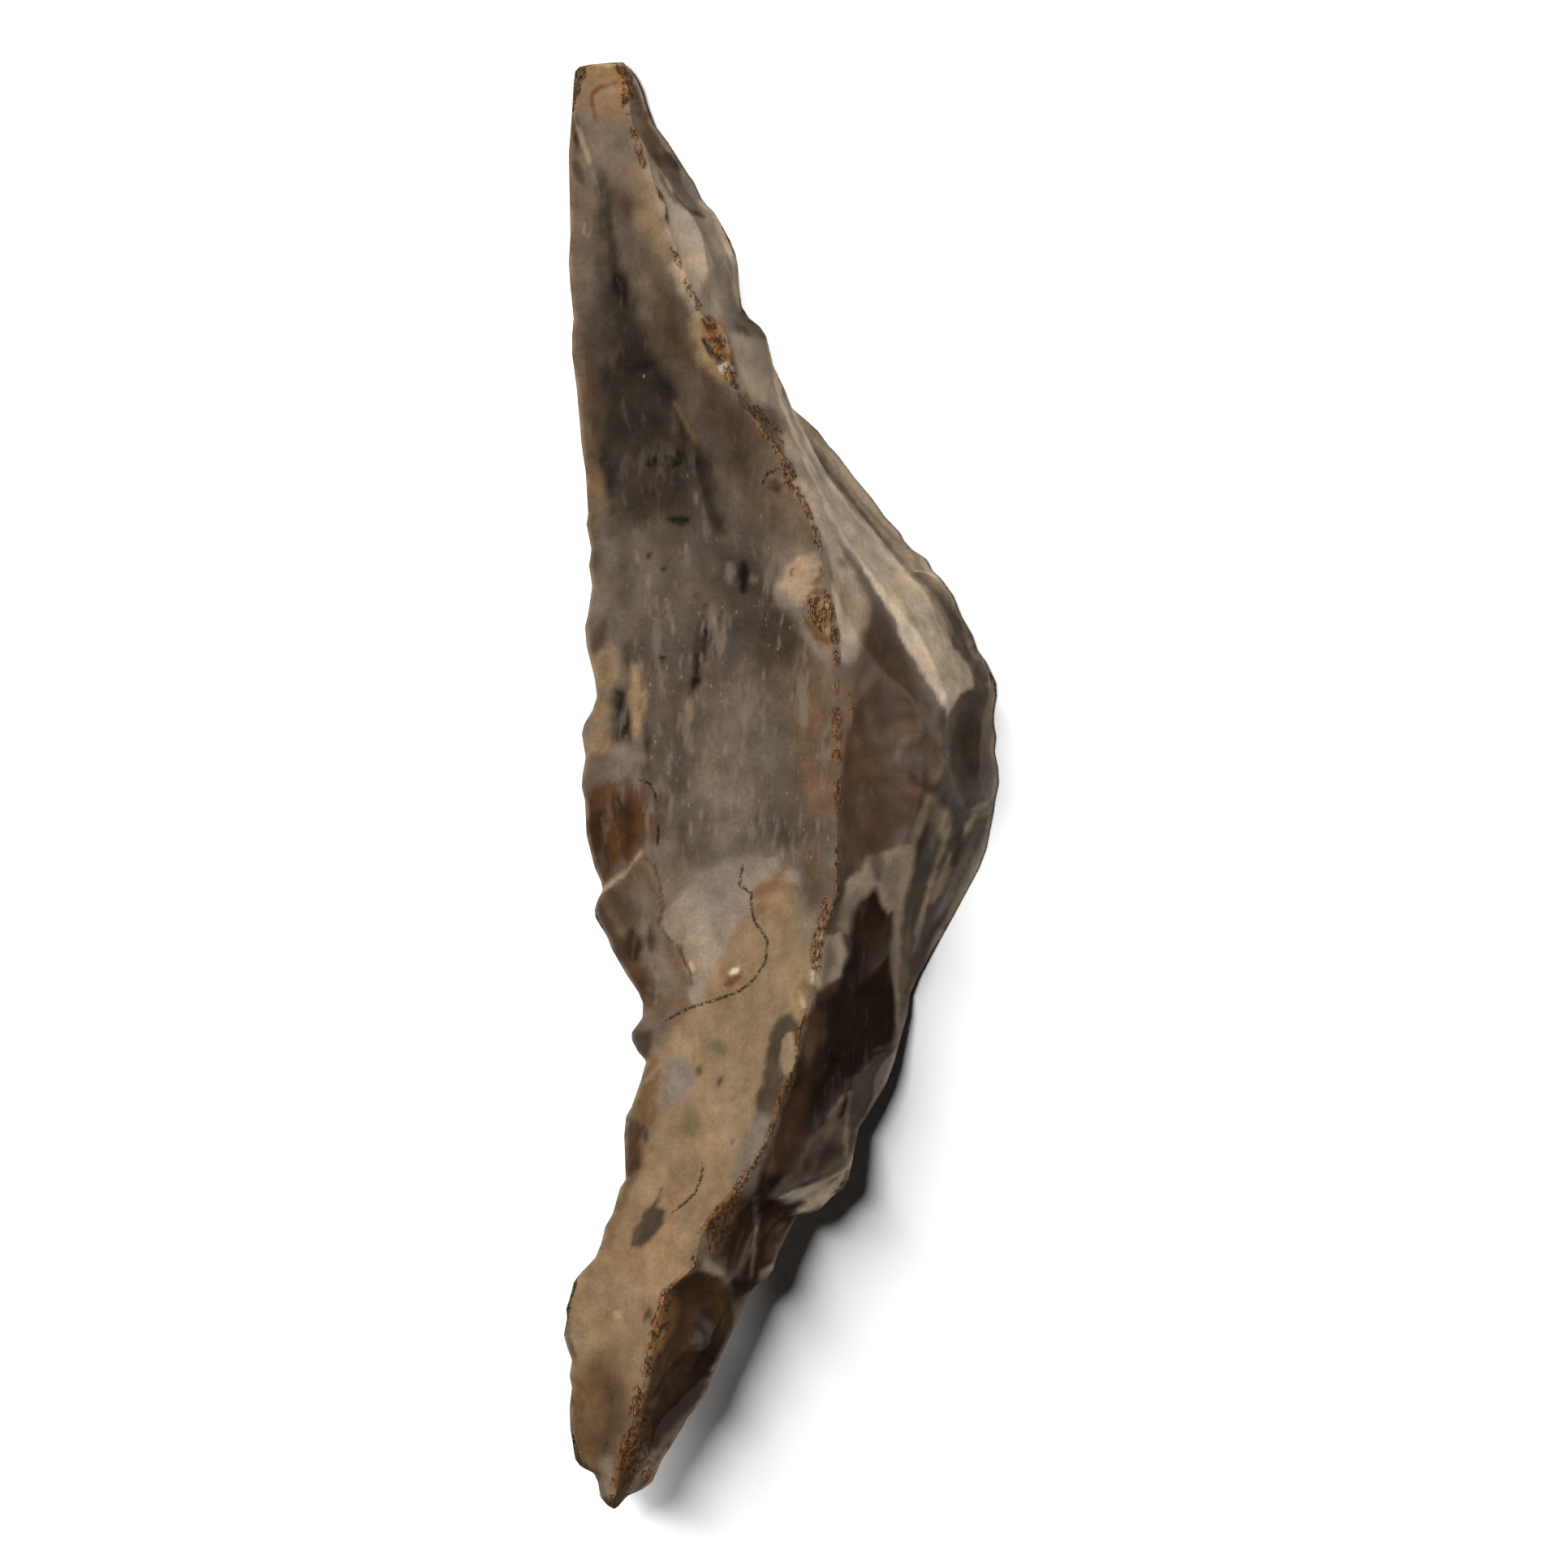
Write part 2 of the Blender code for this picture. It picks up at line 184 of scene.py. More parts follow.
SMALL_SCARS = (
    Scar("left edge bite by the tip", 708, 168, 46, 16, 0, 0.0, 0.045),
    Scar("bright facet at the tip", 793, 112, 26, 12, -22, 0.0, 0.050),
    Scar("left edge bite in the middle", 724, 600, 44, 20, 0, 0.0, 0.030),
    Scar("left edge bite under the middle", 722, 940, 60, 40, -6, 0.0, 0.055),
    Scar("left hollow", 762, 1130, 95, 58, -22, 0.10, 0.110),
    Scar("knob bite", 800, 1232, 32, 34, 0, 0.0, 0.060),
    Scar("lower left nick row", 780, 1390, 80, 18, 0, 0.0, 0.045),
    Scar("crescent by the tip", 858, 222, 52, 30, -30, 0.20, 0.085),
    Scar("slivered edge", 893, 290, 48, 14, -24, 0.0, 0.060),
    Scar("crest pit", 889, 432, 42, 15, -26, 0.0, 0.055),
    Scar("notch in the right edge", 928, 384, 26, 22, -40, 0.0, 0.080),
    Scar("shoulder scar", 1206, 925, 84, 38, 0, 0.10, 0.150),
    Scar("edge facet of the dark side", 1086, 1348, 66, 36, 14, 0.0, 0.100),
    Scar("pocket under the lip", 960, 1494, 20, 34, -20, 0.0, 0.090),
    Scar("crest chip", 991, 1228, 22, 13, 6, 0.30, 0.045),
    Scar("round scar", 862, 1612, 50, 44, 14, 0.0, 0.150),
    Scar("last nick", 786, 1816, 26, 16, 30, 0.0, 0.060),
)
FINE_SCARS = (
    Scar("first flute of the wing", 968, 478, 66, 8, -17, 0.2, 0.030),
    Scar("second flute of the wing", 992, 552, 56, 9, -27, 0.2, 0.030),
    Scar("third flute of the wing", 1018, 600, 52, 9, -33, 0.2, 0.032),
    Scar("long outer flute", 1022, 572, 84, 9, -36, 0.2, 0.040),
    Scar("outer strip of the wing", 1066, 612, 92, 11, -42, 0.1, 0.045),
    Scar("flute over the wing valley", 1062, 650, 74, 9, -39, 0.1, 0.034),
    Scar("lower flute of the wing", 1100, 700, 58, 10, -45, 0.1, 0.034),
    Scar("step on the wing edge", 1143, 702, 22, 10, -50, 0.0, 0.040),
    Scar("upper sliver of the wing", 1150, 752, 56, 13, -34, 0.0, 0.036),
    Scar("sliver above the shoulder", 1192, 812, 46, 14, -28, 0.0, 0.040),
    Scar("plume by the shoulder", 1140, 935, 34, 20, -20, 0.0, 0.030),
    Scar("first hackle of the flank", 1150, 1020, 60, 12, 22, 0.2, 0.030),
    Scar("second hackle of the flank", 1172, 1080, 66, 11, 26, 0.2, 0.030),
    Scar("third hackle of the flank", 1132, 1120, 76, 10, 14, 0.2, 0.032),
    Scar("fourth hackle of the flank", 1140, 1175, 44, 9, 26, 0.0, 0.028),
    Scar("inner arc of the crescent", 846, 232, 34, 16, -32, 0.1, 0.040),
    Scar("outer arc of the crescent", 868, 226, 24, 14, -34, 0.1, 0.045),
    Scar("sliver under the tip", 812, 172, 36, 9, -31, 0.1, 0.040),
    Scar("sliver along the upper strip", 885, 330, 60, 12, -15, 0.0, 0.030),
    Scar("chip under the edge notch", 940, 432, 26, 10, -18, 0.0, 0.030),
    Scar("scar beside the crest pit", 905, 430, 60, 18, -26, 0.0, 0.020),
    Scar("step under the crest pit", 935, 500, 30, 20, -30, 0.0, 0.020),
    Scar("first line of the fan", 893, 1532, 50, 9, 8, 0.3, 0.018),
    Scar("second line of the fan", 907, 1530, 52, 9, 16, 0.3, 0.018),
    Scar("third line of the fan", 920, 1524, 50, 9, 24, 0.3, 0.018),
    Scar("outer facet of the fan", 955, 1530, 42, 15, 28, 0.0, 0.060),
    Scar("lip behind the pocket", 1008, 1462, 14, 34, -22, 0.0, 0.040),
    Scar("dished lip", 1015, 1432, 28, 24, 30, 0.0, 0.045),
    Scar("upper bite of the dark side", 1088, 1318, 34, 22, 12, 0.0, 0.045),
    Scar("lower bite of the dark side", 1066, 1392, 34, 20, 18, 0.0, 0.045),
    Scar("round scar's lower lobe", 842, 1668, 44, 30, 26, 0.0, 0.030),
    Scar("bite under the round scar", 884, 1662, 26, 12, 22, 0.0, 0.018),
    Scar("long bite of the foot flank", 812, 1760, 40, 16, 28, 0.0, 0.030),
    Scar("inner left hollow", 790, 1110, 56, 20, -8, 0.0, 0.030),
    Scar("upper left hollow", 752, 1040, 46, 24, -10, 0.0, 0.035),
    Scar("scallop on the left", 757, 1150, 34, 18, -28, 0.0, 0.040),
    Scar("long scallop by the knob", 812, 1290, 40, 14, 8, 0.0, 0.020),
    Scar("long chip of the foot", 722, 1620, 40, 18, 0, 0.0, 0.035),
    Scar("chip by the lower tip", 742, 1828, 20, 12, -10, 0.0, 0.030),
)


class Retouch(NamedTuple):
    """A row of small flakes pressed off an edge, in pixels; depth is a share of the crest."""

    name: str
    edge: tuple
    start: float
    end: float
    spacing: float
    reach: float
    depth: float


RETOUCH = (
    Retouch("nibbled upper left edge", LEFT_EDGE, 110, 640, 17, 10, 0.014),
    Retouch("left edge under the middle", LEFT_EDGE, 640, 1010, 25, 17, 0.024),
    Retouch("edge of the left hollow", LEFT_EDGE, 1010, 1260, 31, 26, 0.034),
    Retouch("lower left edge", LEFT_EDGE, 1290, 1460, 23, 22, 0.030),
    Retouch("left edge of the foot", LEFT_EDGE, 1470, 1800, 21, 17, 0.026),
    Retouch("slivers by the upper tip", RIGHT_EDGE, 90, 400, 33, 13, 0.024),
    Retouch("edge of the wing", RIGHT_EDGE, 480, 860, 25, 15, 0.024),
    Retouch("edge of the shoulder", RIGHT_EDGE, 860, 1010, 28, 13, 0.026),
    Retouch("lower right edge", RIGHT_EDGE, 1285, 1470, 24, 18, 0.028),
    Retouch("right edge of the foot", RIGHT_EDGE, 1500, 1840, 19, 17, 0.030),
)


# The flakes of an edge vary in length, reach and depth, and lean a little to either side
RETOUCH_SEED = 11
LEAST_FLAKE, MOST_FLAKE = (0.6, 0.6, 0.5), (1.35, 1.3, 1.4)
FLAKE_LEAN = 14
FLAKE_OVERLAP = 0.62
EDGE_STEP = 20


class Ripple(NamedTuple):
    """Waves spreading in one scar from where it was struck, in pixels; height in metres."""

    name: str
    across: float
    down: float
    near: float
    far: float
    spacing: float
    height: float


RIPPLES = (
    Ripple("waves of the crescent", 905, 205, 20, 92, 15, 0.00007),
    Ripple("waves of the round scar", 905, 1570, 20, 150, 27, 0.00003),
    Ripple("waves of the shoulder scar", 1240, 890, 20, 110, 24, 0.00006),
    Ripple("waves of the left hollow", 715, 1100, 30, 150, 23, 0.00006),
    Ripple("waves of the dark side", 1110, 1330, 20, 90, 19, 0.00005),
    Ripple("waves of the dark facet", 1110, 1110, 60, 300, 46, 0.00006),
    Ripple("waves of the amber hollow", 1170, 870, 60, 190, 34, 0.00006),
    Ripple("slow waves of the middle facet", 700, 640, 120, 560, 74, 0.000015),
    Ripple("slow waves of the foot", 690, 1690, 20, 120, 31, 0.00004),
)
RIPPLE_STRETCH = 0.25


class Lumps(NamedTuple):
    """A smooth random field: its strength, its lumps' size in pixels, and its own number."""

    strength: float
    size: float
    seed: int
    narrower: float = 1
    flatter: float = 1


LATTICE = 512
# Slow swells of the stone in metres, the waves' wander, and the crust's sway, width and breaks
UNDULATION = (Lumps(0.00007, 96, 96), Lumps(0.000025, 34, 34), Lumps(0.000008, 11, 11))
RIPPLE_WANDER = (Lumps(0.4, 60, 3),)
CRUST_WANDER = (Lumps(2, 26, 5),)
CRUST_SWELL = (Lumps(0.7, 38, 6),)
CRUST_BREAKS = (Lumps(1, 17, 7), Lumps(0.9, 7, 8))
CRUST_BREAK_RANGE = (-0.45, 0.45)
CRUST_START = (70, 90)
LEAST_CRUST = 0.35
CRUST_WIDTHS = (
    (60, 5), (330, 4), (470, 6.5), (620, 4), (760, 3.2), (1040, 3), (1120, 5), (1260, 4),
    (1400, 3.5), (1500, 5.5), (1850, 6),
)
# The fine scars are cut deeper than listed, so that they show; then the flakes underneath
FINE_SCAR_GAIN = 1.4
UNDERSIDE_SCARS = (
    Scar("nick by the upper tip", 728, 180, 60, 30, -6, 0.0, 0.045),
    Scar("long nick on the wing", 1150, 760, 100, 36, -30, 0.0, 0.055),
    Scar("nick on the shoulder", 1196, 1030, 80, 40, 18, 0.0, 0.060),
    Scar("nick on the left", 742, 880, 90, 34, 0, 0.0, 0.045),
    Scar("nick by the knob", 790, 1300, 90, 30, 0, 0.0, 0.045),
    Scar("nick on the lower right", 1010, 1450, 80, 34, 34, 0.0, 0.055),
    Scar("nick by the lower tip", 724, 1690, 90, 26, 0, 0.0, 0.040),
)


class Patch(NamedTuple):
    """A patch of colour between corners in pixels, or along them if it has a half width."""

    name: str
    colour: str
    soft: float
    cover: float
    half_width: float
    corners: tuple


def patches(*rows):
    """Patches from rows that each end with their corners."""
    return tuple(Patch(*row[:5], row[5:]) for row in rows)


# Colours of the stone as they look in the light, in 255ths. The flank colours, pale flank among
# them, and the cream band are partly the paler stone of the right side and partly painted light:
# they are lighter than the stone's own, to lift the shade on that side, which faces away from the
# window
COLOURS = {
    "beige": (156, 124, 90), "pale grey": (122, 103, 87), "grey": (116, 101, 88),
    "brown grey": (116, 94, 72), "mid grey": (90, 78, 68), "dark grey": (60, 51, 42),
    "smoke": (42, 35, 28), "black grey": (24, 20, 16), "mist": (128, 116, 106),
    "tan": (150, 125, 95), "deep tan": (122, 92, 60), "orange tan": (128, 96, 58),
    "amber": (92, 62, 37), "brown": (78, 57, 40), "dark brown": (42, 28, 17),
    "rust": (98, 62, 32), "lilac": (134, 118, 105), "lilac grey": (150, 133, 118),
    "cream": (176, 152, 123), "bone": (194, 172, 144), "flank tan": (178, 155, 129),
    "flank grey": (156, 140, 122), "pale flank": (200, 177, 150), "umber": (64, 40, 20),
    "dark umber": (44, 27, 14), "olive": (70, 60, 34), "moss": (24, 30, 8),
    "sage": (108, 99, 72), "rose": (132, 86, 66), "slate": (72, 61, 50),
    "edge brown": (66, 46, 28), "flank brown": (96, 71, 52), "flank slate": (96, 85, 74),
    "flank umber": (78, 60, 42), "scar brown": (82, 58, 33), "pale tan": (160, 136, 106),
    "arris": (232, 214, 192), "warm brown": (106, 77, 54), "lit cream band": (214, 194, 168),
    "crust tan": (162, 112, 62), "crust brown": (110, 68, 33), "soot": (38, 26, 17),
    "underside": (118, 99, 80),
}
PATCHES = patches(
    # broad fields of the left face, from the upper tip down
    ("tip", "beige", 30, 1, 0, (690, 60), (800, 60), (790, 150), (690, 150)),
    ("grey under the tip", "pale grey", 40, 1, 0, (690, 140), (790, 140), (830, 260), (760, 300),
     (690, 270)),
    ("brown beside it", "brown grey", 28, 0.5, 26, (776, 250), (790, 330), (815, 400), (850, 470),
     (905, 540), (960, 640)),
    ("tan along the crest", "tan", 18, 0.95, 16, (795, 205), (806, 260), (822, 318)),
    ("shade along that tan", "brown", 16, 0.7, 12, (835, 400), (858, 450), (890, 500), (925, 560),
     (960, 640)),
    ("dark upper middle", "dark grey", 34, 1, 0, (745, 290), (765, 300), (790, 390), (830, 480),
     (880, 590), (890, 660), (850, 640), (760, 650), (735, 560), (722, 440), (735, 350)),
    ("darkest upper middle", "smoke", 34, 0.45, 0, (770, 420), (800, 430), (845, 540), (820, 560),
     (765, 530), (752, 470)),
    ("brown by the edge", "brown", 10, 0.8, 10, (722, 420), (728, 500), (732, 570)),
    ("edge strip above the middle", "brown grey", 9, 0.5, 6, (704, 260), (705, 330), (709, 420),
     (718, 520), (727, 590), (730, 690), (728, 760)),
    ("grey middle", "mid grey", 40, 0.9, 0, (735, 640), (880, 640), (1000, 760), (1030, 900),
     (1025, 1060), (850, 1080), (790, 1000), (790, 880), (740, 760)),
    ("brown grey by the crest", "brown grey", 34, 0.45, 40, (930, 560), (975, 660), (990, 840),
     (1000, 1000)),
    ("warm grey middle", "grey", 36, 0.8, 40, (905, 860), (915, 940), (900, 1010)),
    ("dark cloud by the fossil", "dark grey", 24, 0.8, 20, (905, 770), (940, 760), (975, 790),
     (985, 800)),
    ("brown left edge", "amber", 20, 1, 0, (712, 960), (770, 950), (806, 970), (812, 1010),
     (770, 1070), (738, 1095), (722, 1040)),
    ("dark bands in the brown edge", "dark brown", 9, 0.75, 9, (762, 985), (774, 1010),
     (776, 1050)),
    ("dark rim of the brown edge", "dark brown", 9, 0.7, 9, (728, 990), (735, 1040), (745, 1080)),
    # tan lower half
    ("tan lower half", "tan", 16, 1, 0, (900, 1075), (960, 1060), (985, 1110), (1012, 1150),
     (1000, 1235), (985, 1300), (955, 1380), (930, 1440), (905, 1470), (862, 1525), (850, 1560),
     (812, 1600), (802, 1680), (785, 1740), (760, 1840), (700, 1830), (690, 1560), (730, 1540),
     (762, 1460), (800, 1330), (830, 1270), (850, 1240), (880, 1170), (915, 1110)),
    ("paler tan above the foot", "beige", 24, 0.7, 0, (770, 1500), (850, 1470), (845, 1550),
     (800, 1590), (740, 1580), (710, 1590)),
    ("deep tan by the left nicks", "deep tan", 14, 0.8, 12, (806, 1310), (798, 1370), (784, 1420),
     (768, 1470), (748, 1530)),
    ("brown nick of the lower left", "edge brown", 5, 0.7, 4, (770, 1390), (776, 1430),
     (768, 1455)),
    ("brown foot", "brown", 40, 0.85, 0, (700, 1690), (790, 1690), (770, 1780), (750, 1850),
     (700, 1830)),
    ("amber foot", "deep tan", 24, 0.6, 16, (724, 1700), (722, 1760), (720, 1800)),
    # left hollow and the pale patch beside it
    ("left hollow", "brown grey", 10, 0.95, 0, (790, 1050), (808, 1068), (815, 1100), (812, 1140),
     (840, 1168), (853, 1212), (846, 1250), (812, 1270), (792, 1240), (770, 1190), (750, 1150),
     (740, 1110), (758, 1090)),
    ("grey veil of the hollow", "lilac", 14, 0.7, 14, (792, 1100), (800, 1150), (826, 1210)),
    ("brown rim of the hollow", "edge brown", 7, 0.8, 7, (736, 1110), (752, 1148), (768, 1180),
     (786, 1215), (792, 1236)),
    ("brown of the scallop", "brown", 10, 0.7, 9, (752, 1098), (768, 1120), (776, 1140)),
    ("brown of the left hollow", "amber", 8, 0.7, 7, (770, 1172), (786, 1200), (800, 1236)),
    ("dark drops of the hollow", "dark brown", 9, 0.9, 9, (778, 1150), (784, 1178)),
    ("dark drop of the hollow", "dark brown", 7, 0.8, 5, (800, 1140), (803, 1170)),
    ("pale patch", "lilac grey", 6, 1, 0, (812, 1140), (836, 1100), (858, 1080), (890, 1060),
     (935, 1050), (958, 1056), (958, 1072), (930, 1090), (926, 1120), (905, 1150), (880, 1190),
     (866, 1240), (846, 1228), (853, 1212), (846, 1190), (840, 1166), (826, 1160)),
    ("white heart of the pale patch", "bone", 16, 0.35, 16, (840, 1120), (858, 1150), (862, 1180)),
    ("haze over the pale patch", "lilac", 18, 0.6, 9, (850, 1085), (905, 1058), (950, 1048)),
    ("knob", "brown", 6, 0.9, 0, (775, 1262), (800, 1268), (806, 1290), (796, 1310), (780, 1292)),
    ("edge below the knob", "deep tan", 8, 0.8, 9, (806, 1300), (796, 1340), (784, 1370)),
    ("scar on the lower left", "brown", 5, 0.95, 0, (770, 1376), (788, 1378), (795, 1400),
     (788, 1436), (772, 1450), (768, 1410)),
    ("slate dash in that scar", "slate", 4, 0.9, 3, (793, 1388), (796, 1402)),
    # upper left markings
    ("lilac light of the upper tip", "lilac", 26, 0.2, 18, (735, 170), (748, 230), (765, 280)),
    ("bite by the tip", "edge brown", 4, 0.9, 5, (706, 140), (708, 165), (711, 182)),
    ("grey dart by the bite", "dark grey", 5, 0.7, 5, (706, 200), (716, 222)),
    ("grey drift", "grey", 9, 0.7, 5, (722, 160), (730, 210), (742, 260)),
    ("shade near the tip", "mid grey", 10, 0.6, 6, (768, 150), (766, 190)),
    ("brown shade", "brown", 14, 0.5, 9, (770, 250), (772, 268)),
    ("dark strand", "dark grey", 11, 0.9, 7, (742, 225), (748, 280), (757, 322), (764, 345)),
    ("soft shade right of the strand", "mid grey", 14, 0.7, 11, (764, 240), (776, 290),
     (782, 340)),
    ("brown cloud", "brown", 12, 0.6, 9, (768, 250), (774, 266)),
    ("dark streak", "soot", 9, 1, 7, (757, 330), (763, 350), (769, 374)),
    ("shade left of it", "dark grey", 9, 0.6, 8, (736, 315), (742, 340)),
    ("grey veil", "mid grey", 18, 0.5, 10, (732, 380), (740, 440)),
    ("dark slit", "black grey", 8, 0.8, 6, (775, 455), (805, 450), (828, 490)),
    ("long dark band", "smoke", 11, 0.85, 10, (818, 480), (836, 520), (855, 560), (868, 590),
     (880, 630), (886, 655)),
    ("edge of the band", "black grey", 8, 0.6, 4, (826, 500), (850, 545), (866, 580)),
    ("tan edge of the band", "deep tan", 4, 0.8, 2.5, (832, 500), (848, 525), (859, 547)),
    ("pale side of the band", "mid grey", 8, 0.6, 5, (815, 545), (850, 590), (866, 640)),
    ("left dark band", "smoke", 8, 0.85, 6, (742, 550), (750, 590), (755, 628)),
    ("orange strip", "deep tan", 8, 0.9, 0, (718, 572), (738, 582), (748, 625), (738, 622),
     (724, 606)),
    ("olive edge", "olive", 6, 0.55, 4, (729, 635), (730, 690), (733, 712)),
    ("grey wisps", "mist", 9, 0.5, 6, (742, 660), (752, 680), (750, 700)),
    ("grey wisp below", "mist", 9, 0.4, 7, (760, 760), (765, 790)),
    # pale clouds in the grey
    ("cloud under the stains", "lilac", 14, 0.45, 8, (785, 660), (800, 700), (790, 740)),
    ("cloud by the left edge", "lilac", 12, 0.5, 7, (738, 700), (745, 730), (742, 760)),
    ("cloud low in the middle", "lilac", 20, 0.45, 16, (870, 960), (900, 1000), (890, 1040)),
    ("cloud by the dark spot", "grey", 14, 0.5, 9, (840, 690), (850, 740)),
    ("blue grey of the middle", "mid grey", 26, 0.5, 22, (800, 850), (812, 920), (806, 980)),
    ("warm grey by the crest", "brown grey", 22, 0.6, 18, (1000, 830), (1008, 920), (1010, 1000)),
    ("dark cloud under the crest", "dark grey", 26, 0.65, 20, (900, 530), (928, 585), (925, 622)),
    ("second dark cloud", "dark grey", 22, 0.65, 16, (900, 690), (932, 710), (930, 748)),
    ("veil beside the crest", "dark grey", 34, 0.42, 34, (838, 420), (870, 500), (900, 580),
     (915, 680), (890, 770)),
    ("veil of the upper left", "dark grey", 26, 0.45, 22, (718, 270), (735, 320), (748, 372)),
    ("veil of the upper tan", "brown", 20, 0.35, 16, (790, 310), (812, 370), (840, 430)),
    ("third dark cloud", "dark grey", 12, 0.6, 9, (866, 765), (878, 785)),
    ("shade above the pit", "brown", 16, 0.55, 12, (808, 345), (830, 400), (855, 450)),
    # middle markings
    ("dark spot", "black grey", 7, 1, 6, (917, 695), (917, 728)),
    ("pale patch left of the spot", "mist", 5, 0.7, 5, (897, 698), (899, 718)),
    ("pale patch right of the spot", "mist", 4, 0.6, 4, (927, 712), (930, 718)),
    ("dark line", "black grey", 6, 1, 5, (872, 748), (867, 785), (860, 820), (855, 848)),
    ("grey edge of the dark line", "slate", 7, 0.8, 3, (866, 770), (858, 800)),
    ("tan beside the dark line", "pale grey", 5, 0.75, 5, (878, 742), (882, 760)),
    ("tan oval", "tan", 4, 0.8, 6, (848, 862), (850, 885)),
    ("pale drop", "mist", 4, 0.7, 3, (851, 905), (853, 930)),
    ("blue grey shade", "dark grey", 10, 0.7, 6, (935, 800), (948, 840)),
    ("shade in the middle", "dark grey", 10, 0.7, 6, (840, 1015), (842, 1045)),
    ("shade by the crest", "dark grey", 12, 0.7, 9, (966, 1010), (966, 1045)),
    ("brown drift by the crest", "brown", 12, 0.7, 9, (1000, 1060), (1000, 1110)),
    ("orange dot", "orange tan", 2, 0.9, 3, (870, 818), (872, 821)),
    # left middle markings
    ("orange patch", "tan", 6, 0.95, 0, (728, 812), (750, 790), (762, 800), (765, 830), (752, 850),
     (738, 850)),
    ("tan below it", "tan", 8, 0.9, 0, (728, 880), (748, 850), (756, 890), (752, 925), (720, 930)),
    ("dark rectangle", "smoke", 6, 1, 0, (758, 850), (776, 848), (780, 890), (776, 915),
     (754, 922), (754, 880)),
    ("shade above the rectangle", "dark grey", 5, 0.8, 4, (770, 800), (776, 835)),
    ("tan band", "tan", 5, 0.95, 0, (777, 815), (790, 820), (798, 860), (790, 890), (789, 912),
     (780, 910), (778, 880), (774, 850)),
    ("vein of the tan band", "rust", 2, 0.6, 1.3, (786, 825), (790, 850), (787, 880)),
    ("core of the orange patch", "deep tan", 6, 0.6, 4, (745, 800), (742, 835)),
    ("dark strand below", "smoke", 5, 0.8, 3, (793, 880), (797, 910), (796, 945)),
    ("blue white cloud", "lilac", 14, 1, 16, (760, 925), (775, 935), (786, 930)),
    ("cloud below", "lilac", 12, 0.6, 10, (752, 950), (770, 955)),
    ("shade left of the patch", "brown", 7, 0.7, 4, (745, 765), (732, 800)),
    # green and dark stains, the remains of something that wore away
    ("green stain", "moss", 2, 1, 5, (796, 571), (806, 567), (816, 573)),
    ("green end of the stain", "moss", 2, 1, 5.5, (822, 566), (830, 572), (838, 570)),
    ("speck beside it", "moss", 1.5, 0.9, 4, (835, 557), (838, 566)),
    ("fainter stain", "moss", 3, 0.85, 5, (822, 640), (836, 643), (848, 640)),
    ("olive drop", "olive", 4, 0.6, 5, (855, 730), (858, 736)),
    ("olive drop above", "moss", 2, 0.85, 3, (799, 686), (800, 684)),
    ("olive drop below", "moss", 2, 0.85, 3.4, (816, 702), (819, 700)),
    ("olive fleck", "olive", 3, 0.7, 2, (836, 690), (846, 684)),
    ("green fleck", "moss", 2, 0.9, 3.4, (818, 757), (821, 754)),
    ("green dash", "moss", 2, 0.9, 2, (811, 810), (822, 812)),
    # tan lower half markings
    ("red smear", "rose", 8, 0.7, 7, (934, 1098), (952, 1088), (976, 1094)),
    ("red smear below", "rose", 6, 0.5, 5, (934, 1122), (944, 1112)),
    ("white spot by the smear", "lilac grey", 7, 0.8, 8, (975, 1078), (980, 1084)),
    ("grey wash by the crest", "lilac", 9, 0.7, 9, (998, 1140), (990, 1165)),
    ("white oval", "bone", 2, 0.8, 3.5, (850, 1186), (854, 1195)),
    ("lilac oval", "lilac", 5, 1, 0, (822, 1310), (840, 1300), (856, 1315), (852, 1340),
     (838, 1360), (824, 1368), (812, 1350), (816, 1328)),
    ("grey dash by the oval", "slate", 3, 0.8, 3, (862, 1314), (861, 1322)),
    ("grey dash", "slate", 3, 0.85, 3, (885, 1335), (890, 1325)),
    ("green grey stain", "sage", 9, 0.7, 9, (882, 1285), (896, 1296)),
    ("green grey stain below", "sage", 10, 0.9, 11, (850, 1370), (854, 1395)),
    ("brown dot", "dark brown", 1.5, 0.9, 1.6, (902, 1402), (903, 1406)),
    ("grey spear", "slate", 4, 0.95, 0, (815, 1462), (810, 1484), (820, 1490), (820, 1504),
     (806, 1522), (790, 1536), (777, 1532), (782, 1514), (796, 1490), (806, 1478)),
    ("grey streak by the spear", "pale grey", 7, 0.7, 4, (852, 1485), (838, 1515)),
    ("grey streak above", "slate", 6, 0.5, 3, (782, 1445), (776, 1458)),
    ("soft spot on the foot", "slate", 4, 0.85, 4, (800, 1610), (795, 1622)),
    ("second soft spot", "slate", 4, 0.8, 3, (753, 1716), (754, 1726)),
    ("third soft spot", "dark grey", 4, 0.85, 3, (748, 1772), (742, 1798)),
    ("pale grain on the foot", "bone", 3, 0.6, 4, (758, 1614), (764, 1618)),
    ("pale streak at the lower tip", "lilac", 8, 0.7, 5, (748, 1790), (752, 1835)),
    ("dark left edge of the foot", "edge brown", 5, 0.8, 3, (700, 1612), (699, 1640), (706, 1672),
     (704, 1700)),
    ("dark lower edge", "edge brown", 5, 0.85, 4, (710, 1796), (732, 1812), (740, 1840),
     (752, 1852)),
    # long patch along the crest
    ("grey patch by the crest", "slate", 4, 0.9, 0, (960, 1248), (976, 1246), (984, 1262),
     (982, 1310), (972, 1345), (962, 1372), (942, 1390), (928, 1386), (934, 1345), (946, 1300),
     (952, 1262)),
    ("its pale foot", "lilac", 8, 0.95, 0, (930, 1372), (950, 1376), (952, 1392), (934, 1430),
     (916, 1462), (902, 1452), (912, 1400)),
    ("tan oval in it", "pale tan", 2.5, 0.9, 9.5, (973, 1276), (969, 1318)),
    # right of the crest: upper strip
    ("strip right of the crest", "flank grey", 10, 1, 0, (775, 60), (800, 90), (815, 150),
     (850, 215), (905, 300), (915, 385), (945, 410), (960, 480), (940, 525), (905, 470),
     (860, 380), (825, 290), (800, 220), (770, 130)),
